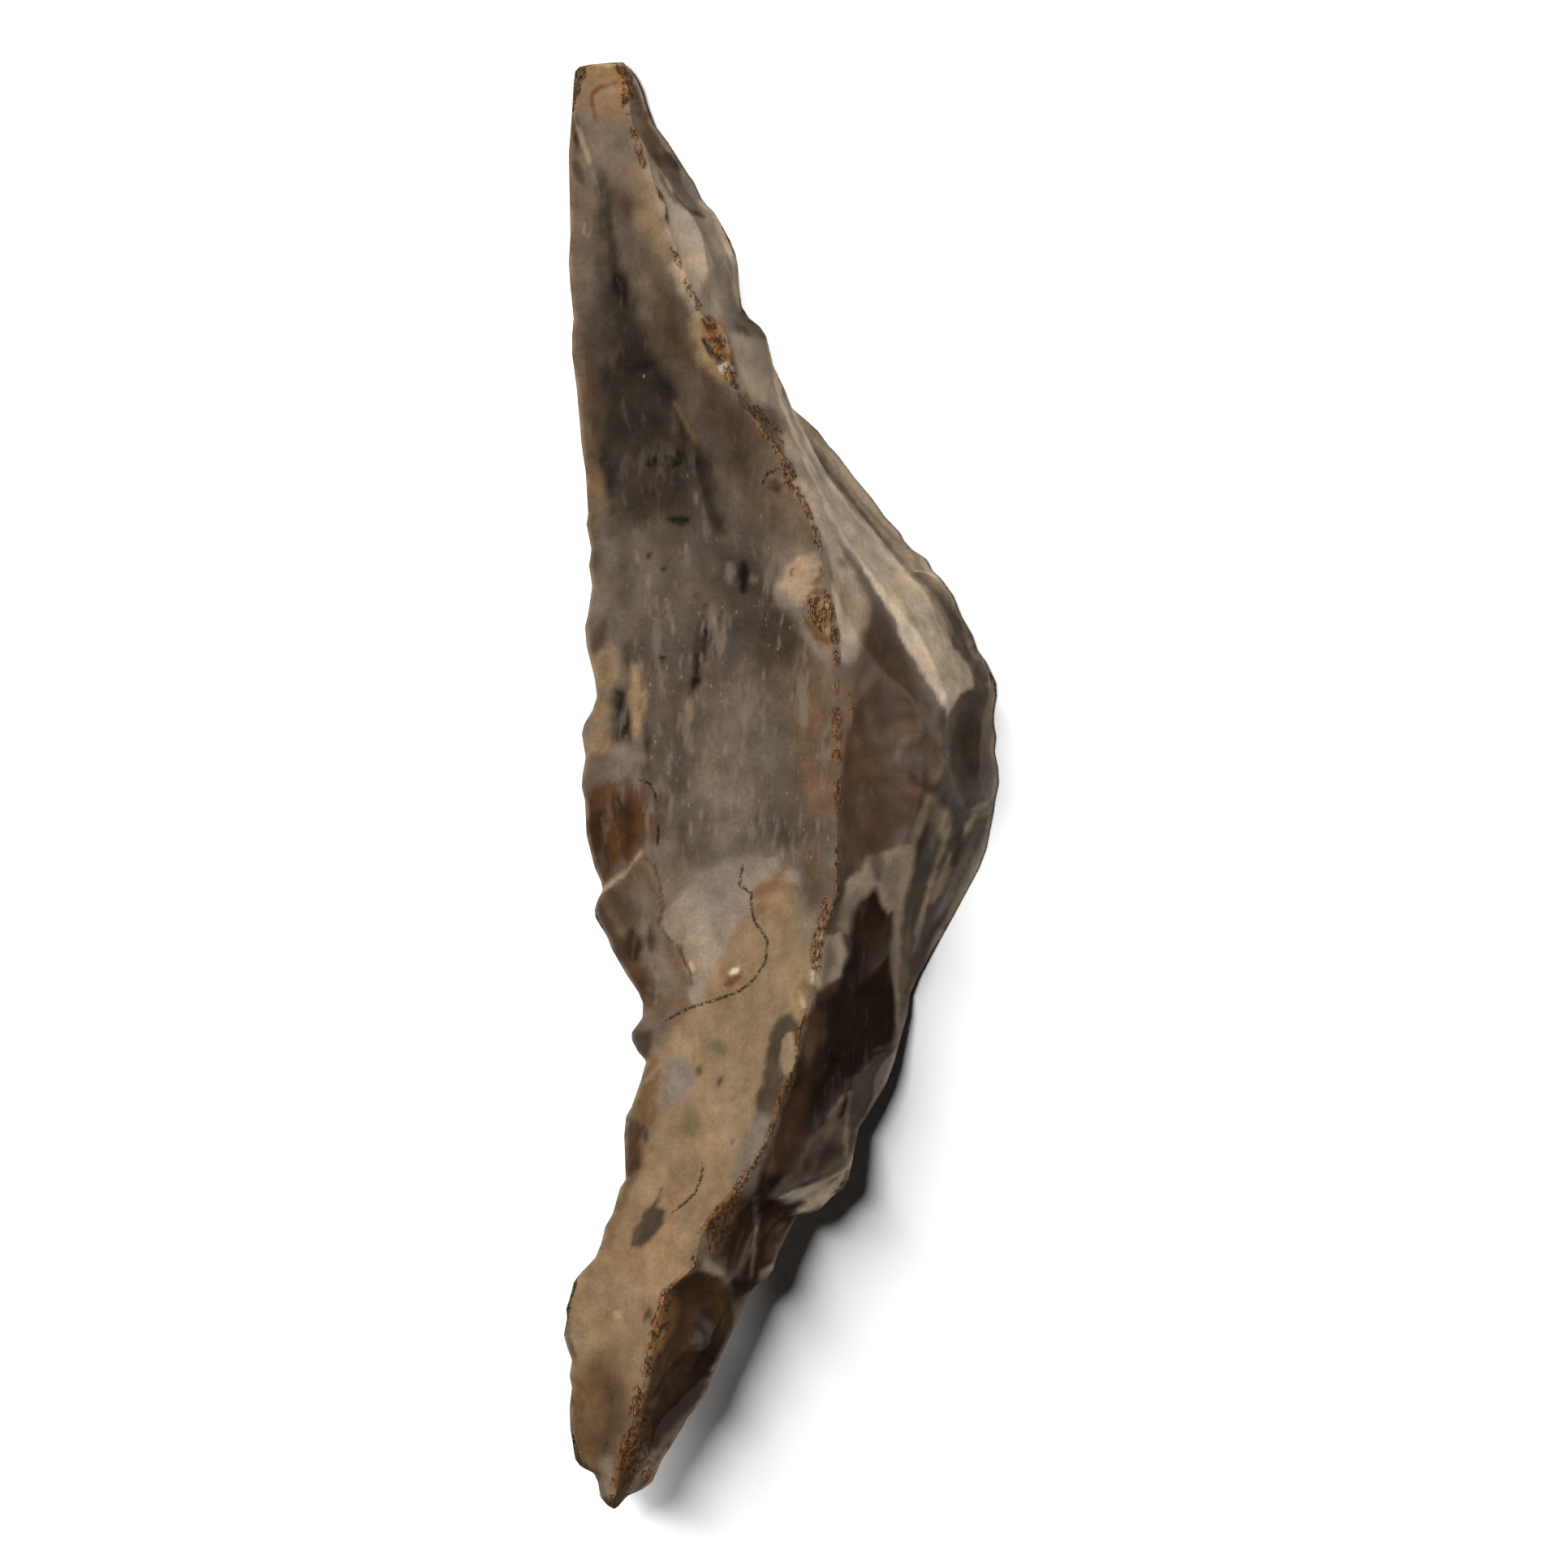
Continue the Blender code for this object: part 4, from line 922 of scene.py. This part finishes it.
def edge_wander(soft):
    """How a patch's edge wanders, in broad lumps and in small ones: the more, the softer it is."""
    return Lumps(0.7 * soft, 9 + 1.8 * soft, 21), Lumps(0.5 + 0.25 * soft, 5 + 0.5 * soft, 22)


def narrowing(places, across, down):
    """How wide a streak is along its way: widest in its middle, narrower at both ends."""
    stretch = places[-1] - places[0]
    along = (across - places[0, 0]) * stretch[0] + (down - places[0, 1]) * stretch[1]
    along = np.clip(along / max(stretch @ stretch, 1), 0, 1)
    along = STREAK_START + (STREAK_END - STREAK_START) * along
    return STREAK_FULLNESS * np.sin(np.pi * along) ** STREAK_ROUNDING


def linear(colour):
    """A colour in 255ths as the light it sends back."""
    share = np.array(colour, dtype=float) / 255
    return np.where(share < 0.04, share / 12.92, ((share + 0.055) / 1.055) ** 2.4)


def laid(tone, colour, cover):
    """A colour laid over the tones where the cover says."""
    cover = cover[:, None]
    return tone * (1 - cover) + colour * cover


def painted(across, down):
    """The stone's colours, with painted light and shade among them: the patches over one another,
    then the cream band, then mottled and streaked.
    """
    tone = np.tile(linear(COLOURS["grey"]), (across.size, 1))
    for patch in PATCHES:
        tone = laid(tone, linear(COLOURS[patch.colour]), patch_cover(patch, across, down))
    off_band = outline_distance(CREAM_BAND, across, down, True) + field(BAND_WANDER, across, down)
    # the cream band is the wing's own cream, painted lighter still to lift the shade on that slope
    cream = linear(COLOURS["lit cream band"]) * (1 + field(BAND_MOTTLING, across, down))[:, None]
    tone = laid(tone, cream, between(*BAND_EDGE, off_band))
    mottle, warm = field(MOTTLING, across, down), field(WARMTH, across, down)
    return tone * (1 + mottle[:, None] + warm[:, None] * WARM_TINT) * STONE_TINT


def painted_underside(across, down):
    """The underside's one colour, mottled."""
    mottle = field(UNDERSIDE_MOTTLING, across, down)
    return linear(COLOURS["underside"]) * STONE_TINT * (1 + mottle)[:, None]


def marks(mesh):
    """Write the colour and the finer markings of every point of the stone onto its mesh."""
    places = coordinates(mesh)
    across = PHOTO_LEFT + (places[:, 0] - LOW.x) * (PHOTO_RIGHT - PHOTO_LEFT) / (HIGH.x - LOW.x)
    down = PHOTO_TOP + (HIGH.y - places[:, 1]) / PIXEL
    top, bottom = upper_height(across, down), lower_height(across, down)
    below = places[:, 2] < (top + bottom) / 2
    rim = np.minimum(across - run(LEFT_EDGE, down), run(RIGHT_EDGE, down) - across)
    hidden = below * between(*RIM_BLEND, rim)
    tone = laid(painted(across, down), painted_underside(across, down), hidden)
    shade = mesh.color_attributes.new("tone", "FLOAT_COLOR", "POINT")
    shade.data.foreach_set("color", np.column_stack((tone, np.ones(len(tone)))).ravel())
    upper = 1 - hidden
    off_crest = across - run(CREST, down)
    tan_zone = between(*TAN_DOWN, down) * between(*TAN_OFF_CREST, off_crest)
    middle = between(*MIDDLE_START, down) * between(*MIDDLE_END, down)
    middle = middle * between(*MIDDLE_OFF_CREST, off_crest) * between(*MIDDLE_ACROSS, across)
    values = {
        "rim": np.clip(rim, 0, RIM_DEEPEST),
        "crust": crust(across, down) * upper,
        "fleck": (FEWEST_FLECKS + (MOST_FLECKS - FEWEST_FLECKS) * middle) * upper,
        "speck": (FEWEST_SPECKS + (MOST_SPECKS - FEWEST_SPECKS) * tan_zone) * upper,
    }
    # the pale lines are painted highlights along arrises
    for name, lines in (("dark_line", DARK_LINES), ("arris_highlight", ARRIS_HIGHLIGHTS)):
        signed = np.full(across.shape, float(LINE_REACH))
        for corners in lines:
            away = outline_distance(corners, across, down, False)
            signed = np.where(np.abs(away) < np.abs(signed), away, signed)
        values[name] = signed
        values[name + "_away"] = np.where(hidden > 0, LINE_REACH, np.abs(signed))
    for name, value in values.items():
        mesh.attributes.new(name, "FLOAT", "POINT").data.foreach_set("value", value)


def line(points, down):
    """Read a line of (place, value) points at the given places."""
    places, values = np.array(points, dtype=float).T
    return np.interp(down, places, values)


def run(points, down):
    """Read one of the lines from tip to tip, given (across, down) points."""
    return line([(y, x) for x, y in points], down)


def softened(read, points, down, spread):
    """Read a line as its average over a spread of pixels, so that it has no corners."""
    steps = np.linspace(-spread, spread, SPREAD_STEPS)
    return sum(read(points, down + step) for step in steps) / len(steps)


def foot(points, down, offset):
    """The smooth foot of the facets along an edge, a little outside it."""
    return softened(run, points, down, FOOT_SPREAD) + offset


def between(start, end, place):
    """Share of the way from start to end, held between 0 and 1."""
    return np.clip((place - start) / (end - start), 0, 1)


def grain(across, down, size, seed):
    """A smooth random field between -1 and 1, in lumps of the given size in pixels."""
    lattice = np.random.default_rng(seed).uniform(-1, 1, (LATTICE, LATTICE))
    u, v = across / size, down / size
    left, top = np.floor(u).astype(int), np.floor(v).astype(int)
    u, v = u - left, v - top
    u, v = u * u * (3 - 2 * u), v * v * (3 - 2 * v)
    left, top, right, below = (side % LATTICE for side in (left, top, left + 1, top + 1))
    upper = lattice[top, left] * (1 - u) + lattice[top, right] * u
    lower = lattice[below, left] * (1 - u) + lattice[below, right] * u
    return upper * (1 - v) + lower * v


def field(layers, across, down):
    """The sum of some random fields, each with its own stretch."""
    return sum(lumps.strength * grain(across * lumps.narrower, down * lumps.flatter,
                                      lumps.size, lumps.seed) for lumps in layers)


def retouch_scars():
    """The small flakes of every retouched edge, their sizes shuffled."""
    dice = np.random.default_rng(RETOUCH_SEED)
    scars = []
    for row in RETOUCH:
        down = row.start
        while down < row.end:
            size, reach, depth = dice.uniform(LEAST_FLAKE, MOST_FLAKE)
            step = run(row.edge, down + EDGE_STEP) - run(row.edge, down - EDGE_STEP)
            lean = np.degrees(np.arctan(-step / (2 * EDGE_STEP)))
            lean = lean + dice.uniform(-FLAKE_LEAN, FLAKE_LEAN)
            across = float(run(row.edge, down))
            scars.append(Scar(row.name, across, down, row.spacing * size * FLAKE_OVERLAP,
                              row.reach * reach, lean, 0, row.depth * depth))
            down += row.spacing * size
    return scars


def ripples(across, down):
    """Waves that fade in and out between the near and far reach of each origin."""
    height = np.zeros_like(across)
    wander = field(RIPPLE_WANDER, across, down)
    for ripple in RIPPLES:
        away = np.hypot(across - ripple.across, down - ripple.down)
        share = between(ripple.near, ripple.far, away)
        window = np.sin(np.pi * share) ** 2
        phase = away / ripple.spacing * (1 + RIPPLE_STRETCH * share) + wander
        height = height + ripple.height * window * np.cos(2 * np.pi * phase)
    return height


def crust(across, down):
    """Share of crumbly crust: in broken patches along the crest and in a few pits."""
    off_crest = np.abs(across - run(CREST, down) + field(CRUST_WANDER, across, down))
    width = line(CRUST_WIDTHS, down) * (1 + field(CRUST_SWELL, across, down))
    strip = np.exp(-(off_crest / width) ** 2) * between(*CRUST_START, down)
    patchy = between(*CRUST_BREAK_RANGE, field(CRUST_BREAKS, across, down))
    share = strip * patchy
    whole = LEAST_CRUST + (1 - LEAST_CRUST) * patchy
    for place in CRUST_PATCHES:
        share = np.maximum(share, patch_cover(place, across, down) * whole)
    return share


def underside(across, down):
    """Height of the plain underside: a slow curve, cut flat where the blade rests."""
    share = (down - PHOTO_TOP) / (PHOTO_BOTTOM - PHOTO_TOP)
    to_upper = np.clip(1 - share / UPPER_CURVE_START, 0, 1)
    to_lower = between(LOWER_CURVE_START, LOWER_CURVE_END, share)
    middle = (foot(LEFT_EDGE, down, 0) + foot(RIGHT_EDGE, down, 0)) / 2
    off_middle = (across - middle) / (PHOTO_RIGHT - PHOTO_LEFT) * 2
    wing = np.exp(-((down - WING_PLACE) / WING_REACH) ** 2) * np.clip(off_middle, 0, 1)
    height = UPPER_TIP_RISE * to_upper ** 2
    height = height + LOWER_TIP_RISE * (0.5 - 0.5 * np.cos(np.pi * to_lower))
    height = height + EDGE_RISE * off_middle ** 2 + WING_RISE * wing ** 2
    return np.maximum(height - RESTING_FLAT_CUT, 0)


def hollows(scars, across, down):
    """Depth of the deepest flake scar at each point; two scars meet in an arris."""
    deepest = np.zeros_like(across)
    for scar in scars:
        lean = np.radians(scar.lean)
        right, below = across - scar.across, down - scar.down
        along = (below * np.cos(lean) - right * np.sin(lean)) / scar.half_length
        beside = (right * np.cos(lean) + below * np.sin(lean)) / scar.half_width
        beside = beside / (1 + scar.flare * np.clip(along, -1, 1))
        depth = scar.depth * CREST_HEIGHT * (1 - along ** 2 - beside ** 2)
        deepest = np.maximum(deepest, depth)
    return deepest


def blank_thickness(across, down):
    """Thickness before any flake came off: three planes between the four lines."""
    crest, shoulder = run(CREST, down), run(SHOULDER, down)
    tall = CREST_HEIGHT * softened(line, CREST_THICKNESS, down, PROFILE_SPREAD)
    low = CREST_HEIGHT * softened(line, SHOULDER_THICKNESS, down, PROFILE_SPREAD)
    rise = between(foot(LEFT_EDGE, down, -FOOT_OFFSET), crest, across) * tall
    fall = tall + (low - tall) * between(crest, np.maximum(shoulder, crest + 1), across)
    drop = low * (1 - between(shoulder, foot(RIGHT_EDGE, down, FOOT_OFFSET), across))
    return np.where(across < crest, rise, np.where(across < shoulder, fall, drop))


def upper_height(across, down):
    """Height of the struck face: the blank less its flakes, closed down to the sharp rim."""
    blank = blank_thickness(across, down)
    struck = blank - hollows(LARGE_SCARS, across, down) - hollows(SMALL_SCARS, across, down)
    struck = struck - FINE_SCAR_GAIN * hollows(FINE_SCARS, across, down)
    struck = struck - hollows(retouch_scars(), across, down)
    struck = struck + ripples(across, down) + field(UNDULATION, across, down)
    from_left, from_right = across - run(LEFT_EDGE, down), run(RIGHT_EDGE, down) - across
    from_edge = np.minimum(from_left, from_right) * PIXEL
    thickness = np.minimum(np.maximum(struck, THINNEST_SHARE * blank), RIM_SLOPE * from_edge)
    return underside(across, down) + np.maximum(thickness, 0)


def lower_height(across, down):
    """Height of the underside, with the few flakes that came off its edges."""
    plain = underside(across, down)
    left, right = run(LEFT_EDGE, down), run(RIGHT_EDGE, down)
    inside = np.clip(np.minimum(across - left, right - across) / RIM_REACH, 0, 1)
    struck = plain + hollows(UNDERSIDE_SCARS, across, down) * inside
    room = plain + ROOM_SHARE * (upper_height(across, down) - plain)
    return np.where(plain > 0, np.minimum(struck, room), plain)


def upper_columns(column, down):
    """Places across for a column from 0, the left edge, to 1, the right, through the crest."""
    facets = np.array((LEFT_FACETS, CREST_FACETS, FLANK_FACETS), dtype=float)
    stops = np.concatenate(((0.0,), np.cumsum(facets) / facets.sum()))
    lines = [run(points, down) for points in (LEFT_EDGE, CREST, SHOULDER, RIGHT_EDGE)]
    across = lines[0]
    for first in range(3):
        share = between(stops[first], stops[first + 1], column)
        across = across + (lines[first + 1] - lines[first]) * share
    return across


def lower_columns(column, down):
    """Places across for a column of the underside, evenly from edge to edge."""
    left, right = run(LEFT_EDGE, down), run(RIGHT_EDGE, down)
    return left + (right - left) * column


def rows_down(row):
    """Place of a row down the photograph: the rows stand closer together by the tips."""
    eased = 0.5 - 0.5 * np.cos(np.pi * row)
    share = (1 - TIP_CROWDING) * row + TIP_CROWDING * eased
    return PHOTO_TOP + (PHOTO_BOTTOM - PHOTO_TOP) * share


def coordinates(mesh):
    """The mesh's vertex positions as an array."""
    places = np.empty(len(mesh.vertices) * 3)
    mesh.vertices.foreach_get("co", places)
    return places.reshape(-1, 3)


def face_sheet(facets, columns, height_of):
    """A grid whose rows run across the blade, moved onto one of its faces."""
    sheet = bmesh.new()
    bmesh.ops.create_grid(sheet, x_segments=facets, y_segments=ROWS, size=1)
    mesh = bpy.data.meshes.new("face")
    sheet.to_mesh(mesh)
    sheet.free()
    places = coordinates(mesh)
    column = (places[:, 0] + 1) / 2
    down = rows_down((1 - places[:, 1]) / 2)
    across = columns(column, down)
    places[:, 0] = LOW.x + (across - PHOTO_LEFT) * (HIGH.x - LOW.x) / (PHOTO_RIGHT - PHOTO_LEFT)
    places[:, 1] = HIGH.y - (down - PHOTO_TOP) * PIXEL
    places[:, 2] = np.minimum(height_of(across, down), HIGH.z)
    mesh.vertices.foreach_set("co", places.ravel())
    return mesh


def blade_mesh():
    """The two faces of the blade, welded along its rim."""
    upper = face_sheet(LEFT_FACETS + CREST_FACETS + FLANK_FACETS, upper_columns, upper_height)
    lower = face_sheet(UNDERSIDE_FACETS, lower_columns, lower_height)
    body = bmesh.new()
    body.from_mesh(lower)
    bmesh.ops.reverse_faces(body, faces=body.faces)
    body.from_mesh(upper)
    bmesh.ops.remove_doubles(body, verts=body.verts, dist=WELD)
    mesh = bpy.data.meshes.new("flint")
    body.to_mesh(mesh)
    body.free()
    for sheet in (upper, lower):
        bpy.data.meshes.remove(sheet)
    mesh.shade_smooth()
    mesh.set_sharp_from_angle(angle=SHARP_ANGLE)
    return mesh


class Wire:
    """A number that comes out of a material's node; arithmetic on it adds further nodes."""

    def __init__(self, recipe, socket):
        self.recipe = recipe
        self.socket = socket

    def maths(self, operation, *others):
        node = self.recipe.add("ShaderNodeMath", {"operation": operation}, (self, *others))
        return Wire(self.recipe, node.outputs[0])

    def __add__(self, other):
        return self.maths("ADD", other)

    def __mul__(self, other):
        return self.maths("MULTIPLY", other)

    def __sub__(self, other):
        return self.maths("SUBTRACT", other)

    def __rsub__(self, other):
        return (self * -1) + other

    __radd__ = __add__
    __rmul__ = __mul__

    def ease(self, start, end):
        """Share of the way from start to end, held between 0 and 1 and rounded off."""
        node = self.recipe.add(
            "ShaderNodeMapRange", {"interpolation_type": "SMOOTHSTEP"}, (self, start, end, 0, 1))
        return Wire(self.recipe, node.outputs[0])


class Recipe:
    """The nodes of one material."""

    def __init__(self, material):
        material.use_nodes = True
        self.tree = material.node_tree
        self.surface = self.tree.nodes["Principled BSDF"]

    def feed(self, socket, value):
        source = value.socket if isinstance(value, Wire) else value
        if isinstance(source, bpy.types.NodeSocket):
            self.tree.links.new(source, socket)
        else:
            socket.default_value = source

    def add(self, kind, settings, values):
        """A node with its settings, its sockets fed in order or by name."""
        node = self.tree.nodes.new(kind)
        for name, setting in settings.items():
            setattr(node, name, setting)
        pairs = values.items() if isinstance(values, dict) else enumerate(values)
        for key, value in pairs:
            self.feed(node.inputs[key], value)
        return node

    def mark(self, name):
        """One of the numbers written on the mesh."""
        node = self.add("ShaderNodeAttribute", {"attribute_name": name}, ())
        return Wire(self, node.outputs["Fac"])

    def noise(self, place, scale, detail=2.0, roughness=0.5):
        node = self.add("ShaderNodeTexNoise", {}, {
            "Vector": place, "Scale": scale, "Detail": detail, "Roughness": roughness})
        return Wire(self, node.outputs["Fac"])

    def stretched(self, place, x, y, z, turn=0.0):
        """The place, scaled along each axis after a turn about the vertical."""
        node = self.add("ShaderNodeMapping", {"vector_type": "POINT"}, {
            "Vector": place, "Rotation": (0, 0, turn), "Scale": (x, y, z)})
        return node.outputs["Vector"]

    def cells(self, place, scale):
        """Distance to the nearest of many scattered points, and each point's own number."""
        node = self.add("ShaderNodeTexVoronoi", {}, {"Vector": place, "Scale": scale})
        parts = self.add("ShaderNodeSeparateColor", {}, {"Color": node.outputs["Color"]})
        return Wire(self, node.outputs["Distance"]), Wire(self, parts.outputs[0])

    def blend(self, share, first, second):
        node = self.add("ShaderNodeMix", {"data_type": "RGBA", "clamp_factor": True}, {
            0: share, 6: first, 7: second})
        return node.outputs[2]

    def brighten(self, colour, share):
        """The colour times one plus the share."""
        node = self.add("ShaderNodeVectorMath", {"operation": "SCALE"}, {
            0: colour, "Scale": share + 1.0})
        return node.outputs[0]


def stone(name):
    """A colour of the stone for one of the finer markings."""
    return (*(linear(COLOURS[name]) * STONE_TINT), 1)


def spots(recipe, place, scale, core, share, often):
    """Spots on some of many scattered points: on more of them where the share is higher."""
    away, number = recipe.cells(place, scale)
    return away.ease(SPOT_EDGE, core) * (number + share).ease(*often)


def flecked(recipe, place, tone, fine, cloud):
    """Pale flecks, longer ones in the middle of the left face, and brown specks on the tan."""
    fleck_share, speck_share = recipe.mark("fleck"), recipe.mark("speck")
    wisps = recipe.noise(recipe.stretched(place, 1, 0.32, 1, -0.1), WISP, 3, 0.6)
    wisp = wisps.ease(0.52, 0.70) * (fleck_share * 0.55 + 0.12)
    tone = recipe.blend(wisp, tone, stone("lilac"))
    long_flecks = spots(recipe, recipe.stretched(place, 1, 0.36, 1, -0.08), LONG_FLECK, 0.08,
                        fleck_share * 0.62, (0.95, 1.15))
    tone = recipe.blend(long_flecks * cloud.ease(0.3, 0.6) * 0.5, tone, stone("lilac grey"))
    small_flecks = spots(recipe, recipe.stretched(place, 1, 0.45, 1, -0.2), SMALL_FLECK, 0.06,
                         fleck_share * 0.26, (0.98, 1.12))
    tone = recipe.blend(small_flecks * fine.ease(0.35, 0.6) * 0.6, tone, stone("cream"))
    specks = spots(recipe, place, SPECK, 0.14, speck_share * 0.28, (1.0, 1.1))
    return recipe.blend(specks * fine.ease(0.4, 0.6) * 0.5, tone, stone("brown"))


def crusted(recipe, place, tone):
    """Crumbly crust: brown crumbs and dark pits in a tan halo, with a few pale grains."""
    crust_share = recipe.mark("crust")
    crumble = recipe.noise(place, CRUMBLE, 5, 0.7)
    cracks = recipe.noise(recipe.stretched(place, 1, 0.45, 1, 0.5), CRACK, 3, 0.65)
    grains = recipe.noise(place, CRUST_GRAIN, 2)
    halo = crust_share.ease(0.05, 0.35)
    crumbs = (crumble + crust_share * 0.20).ease(0.60, 0.70) * halo
    pits = (cracks - 0.5).maths("ABSOLUTE").ease(0.060, 0.018) * crust_share.ease(0.10, 0.4)
    tone = recipe.blend(halo * 0.34, tone, stone("crust tan"))
    tone = recipe.blend(crumbs * 0.6, tone, stone("crust brown"))
    tone = recipe.blend(pits * 0.85, tone, stone("dark brown"))
    tone = recipe.blend(grains.ease(0.66, 0.72) * halo * 0.8, tone, stone("bone"))
    return tone, crumbs, halo * (crumble * 2.6) - pits


def lined(recipe, place, tone, cloud):
    """Thin lines: dark and dotted, and pale whole ones that are painted highlights along arrises.
    """
    dots = recipe.noise(place, LINE_DOT, 1)
    dark = recipe.mark("dark_line").maths("ABSOLUTE").ease(*DARK_LINE)
    dark = dark * recipe.mark("dark_line_away").ease(*LINE_END) * dots.ease(0.36, 0.52)
    tone = recipe.blend(dark * 0.8, tone, stone("black grey"))
    # painted highlights along the arrises
    pale = recipe.mark("arris_highlight").maths("ABSOLUTE").ease(*ARRIS_HIGHLIGHT_EDGE)
    pale = pale * recipe.mark("arris_highlight_away").ease(*LINE_END) * cloud.ease(0.2, 0.55)
    return recipe.blend(pale * 0.75, tone, stone("arris")), dark


def flint():
    """Flint: the painted colours with flecks, crumbly crust, thin lines, pale ones painted
    highlights, and a painted glow at the thin rim.
    """
    material = bpy.data.materials.new("flint")
    recipe = Recipe(material)
    place = recipe.add("ShaderNodeTexCoord", {}, ()).outputs["Object"]
    tone = recipe.add("ShaderNodeAttribute", {"attribute_name": "tone"}, ()).outputs["Color"]
    fine = recipe.noise(place, FINE, 3, 0.6)
    cloud = recipe.noise(place, CLOUD, 3)
    streak = recipe.noise(recipe.stretched(place, 1, 0.18, 1, 0.06), STREAK, 2)
    mottle = (fine - 0.5) * 0.70 + (cloud - 0.5) * 0.75 + (streak - 0.5) * 0.12
    tone = recipe.brighten(tone, mottle)
    tone = flecked(recipe, place, tone, fine, cloud)
    tone, crumbs, crust_relief = crusted(recipe, place, tone)
    tone, dark = lined(recipe, place, tone, cloud)

    # painted glow: the rim is thin enough to let light through, so it is painted paler and tan
    thin = recipe.mark("rim").ease(*RIM_GLOW) * cloud.ease(0.3, 0.65)
    tone = recipe.blend(thin * 0.5, tone, stone("flank tan"))

    rough = ROUGHNESS + (cloud - 0.5) * 0.18 + (fine - 0.5) * 0.12 + crumbs * 0.35
    relief = fine * 0.25 + cloud * 0.6 + crust_relief - dark * 0.5
    bump = recipe.add("ShaderNodeBump", {}, {
        "Strength": BUMP_STRENGTH, "Distance": BUMP_DEPTH, "Height": relief})
    recipe.feed(recipe.surface.inputs["Base Color"], tone)
    recipe.feed(recipe.surface.inputs["Roughness"], rough)
    recipe.feed(recipe.surface.inputs["Normal"], bump.outputs["Normal"])
    recipe.surface.inputs["IOR"].default_value = FLINT_IOR
    recipe.surface.inputs["Specular IOR Level"].default_value = FLINT_SHEEN
    return material


def plain(name, colour, roughness):
    """A material of one colour, for the table."""
    material = bpy.data.materials.new(name)
    material.use_nodes = True
    surface = material.node_tree.nodes["Principled BSDF"]
    surface.inputs["Base Color"].default_value = (*colour, 1)
    surface.inputs["Roughness"].default_value = roughness
    return material


def table():
    """The pale table that the blade lies on."""
    sheet = bmesh.new()
    bmesh.ops.create_grid(sheet, x_segments=1, y_segments=1, size=TABLE_HALF)
    mesh = bpy.data.meshes.new("table")
    sheet.to_mesh(mesh)
    sheet.free()
    mesh.materials.append(plain("pale_table", TABLE_COLOUR, TABLE_ROUGHNESS))
    top = bpy.data.objects.new("table", mesh)
    bpy.context.scene.collection.objects.link(top)
    top.visible_glossy = False
    return top


def lamp(name, light, direction, away):
    """Stand a light in a direction from the blade, looking at it."""
    stand = bpy.data.objects.new(name, light)
    stand.rotation_mode = "QUATERNION"
    stand.rotation_quaternion = Vector(direction).to_track_quat("Z", "Y")
    stand.location = Vector(direction).normalized() * away
    bpy.context.scene.collection.objects.link(stand)
    return stand


def soft_lamp(name, direction, strength, lit):
    """A wide weak light that reaches the stone and leaves the table alone."""
    light = bpy.data.lights.new(name, "SUN")
    light.energy = strength
    light.angle = SOFT_WIDTH
    lamp(name, light, direction, 1).light_linking.receiver_collection = lit


def pane(name, direction, size, strength, lit):
    """A tall window on the left, for the stone or for the table."""
    light = bpy.data.lights.new(name, "AREA")
    light.shape = "RECTANGLE"
    light.size, light.size_y = size
    light.energy = strength * np.pi * WINDOW_AWAY ** 2
    stand = lamp(name, light, direction, WINDOW_AWAY)
    stand.visible_glossy = False
    stand.light_linking.receiver_collection = lit


def studio(stone_alone, table_alone):
    """The window, two weak soft lights, and a little light from all round."""
    pane("window", WINDOW_FROM, WINDOW_SIZE, WINDOW_STRENGTH, stone_alone)
    pane("window over the table", TABLE_FROM, TABLE_WINDOW, WINDOW_STRENGTH * TABLE_SHARE,
         table_alone)
    soft_lamp("top", TOP_FROM, TOP_STRENGTH, stone_alone)
    soft_lamp("right", RIGHT_FROM, RIGHT_STRENGTH, stone_alone)
    world = bpy.data.worlds.new("room")
    world.use_nodes = True
    world.node_tree.nodes["Background"].inputs["Color"].default_value = (1, 1, 1, 1)
    world.node_tree.nodes["Background"].inputs["Strength"].default_value = FILL_STRENGTH
    bpy.context.scene.world = world
    bpy.context.scene.view_settings.view_transform = "Standard"


def camera():
    """The photograph's view: straight down, the upper tip at the top of the frame."""
    eye = bpy.data.cameras.new("camera")
    eye.sensor_width = SENSOR
    eye.lens = SENSOR * CAMERA_HEIGHT / (PHOTO_SIZE * PIXEL)
    middle = (PHOTO_LEFT + PHOTO_RIGHT) / 2, (PHOTO_TOP + PHOTO_BOTTOM) / 2
    stand = bpy.data.objects.new("camera", eye)
    stand.location = (
        (LOW.x + HIGH.x) / 2 + (PHOTO_SIZE / 2 - middle[0]) * PIXEL,
        (LOW.y + HIGH.y) / 2 - (PHOTO_SIZE / 2 - middle[1]) * PIXEL,
        CAMERA_HEIGHT,
    )
    bpy.context.scene.collection.objects.link(stand)
    bpy.context.scene.camera = stand


camera()
table_alone = bpy.data.collections.new("table_alone")
table_alone.objects.link(table())
blade = bpy.data.objects.new("flint", blade_mesh())
bpy.context.scene.collection.objects.link(blade)
stone_alone = bpy.data.collections.new("stone_alone")
stone_alone.objects.link(blade)
studio(stone_alone, table_alone)
marks(blade.data)
blade.data.materials.append(flint())
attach(blade, "root")
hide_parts("flint_blade")
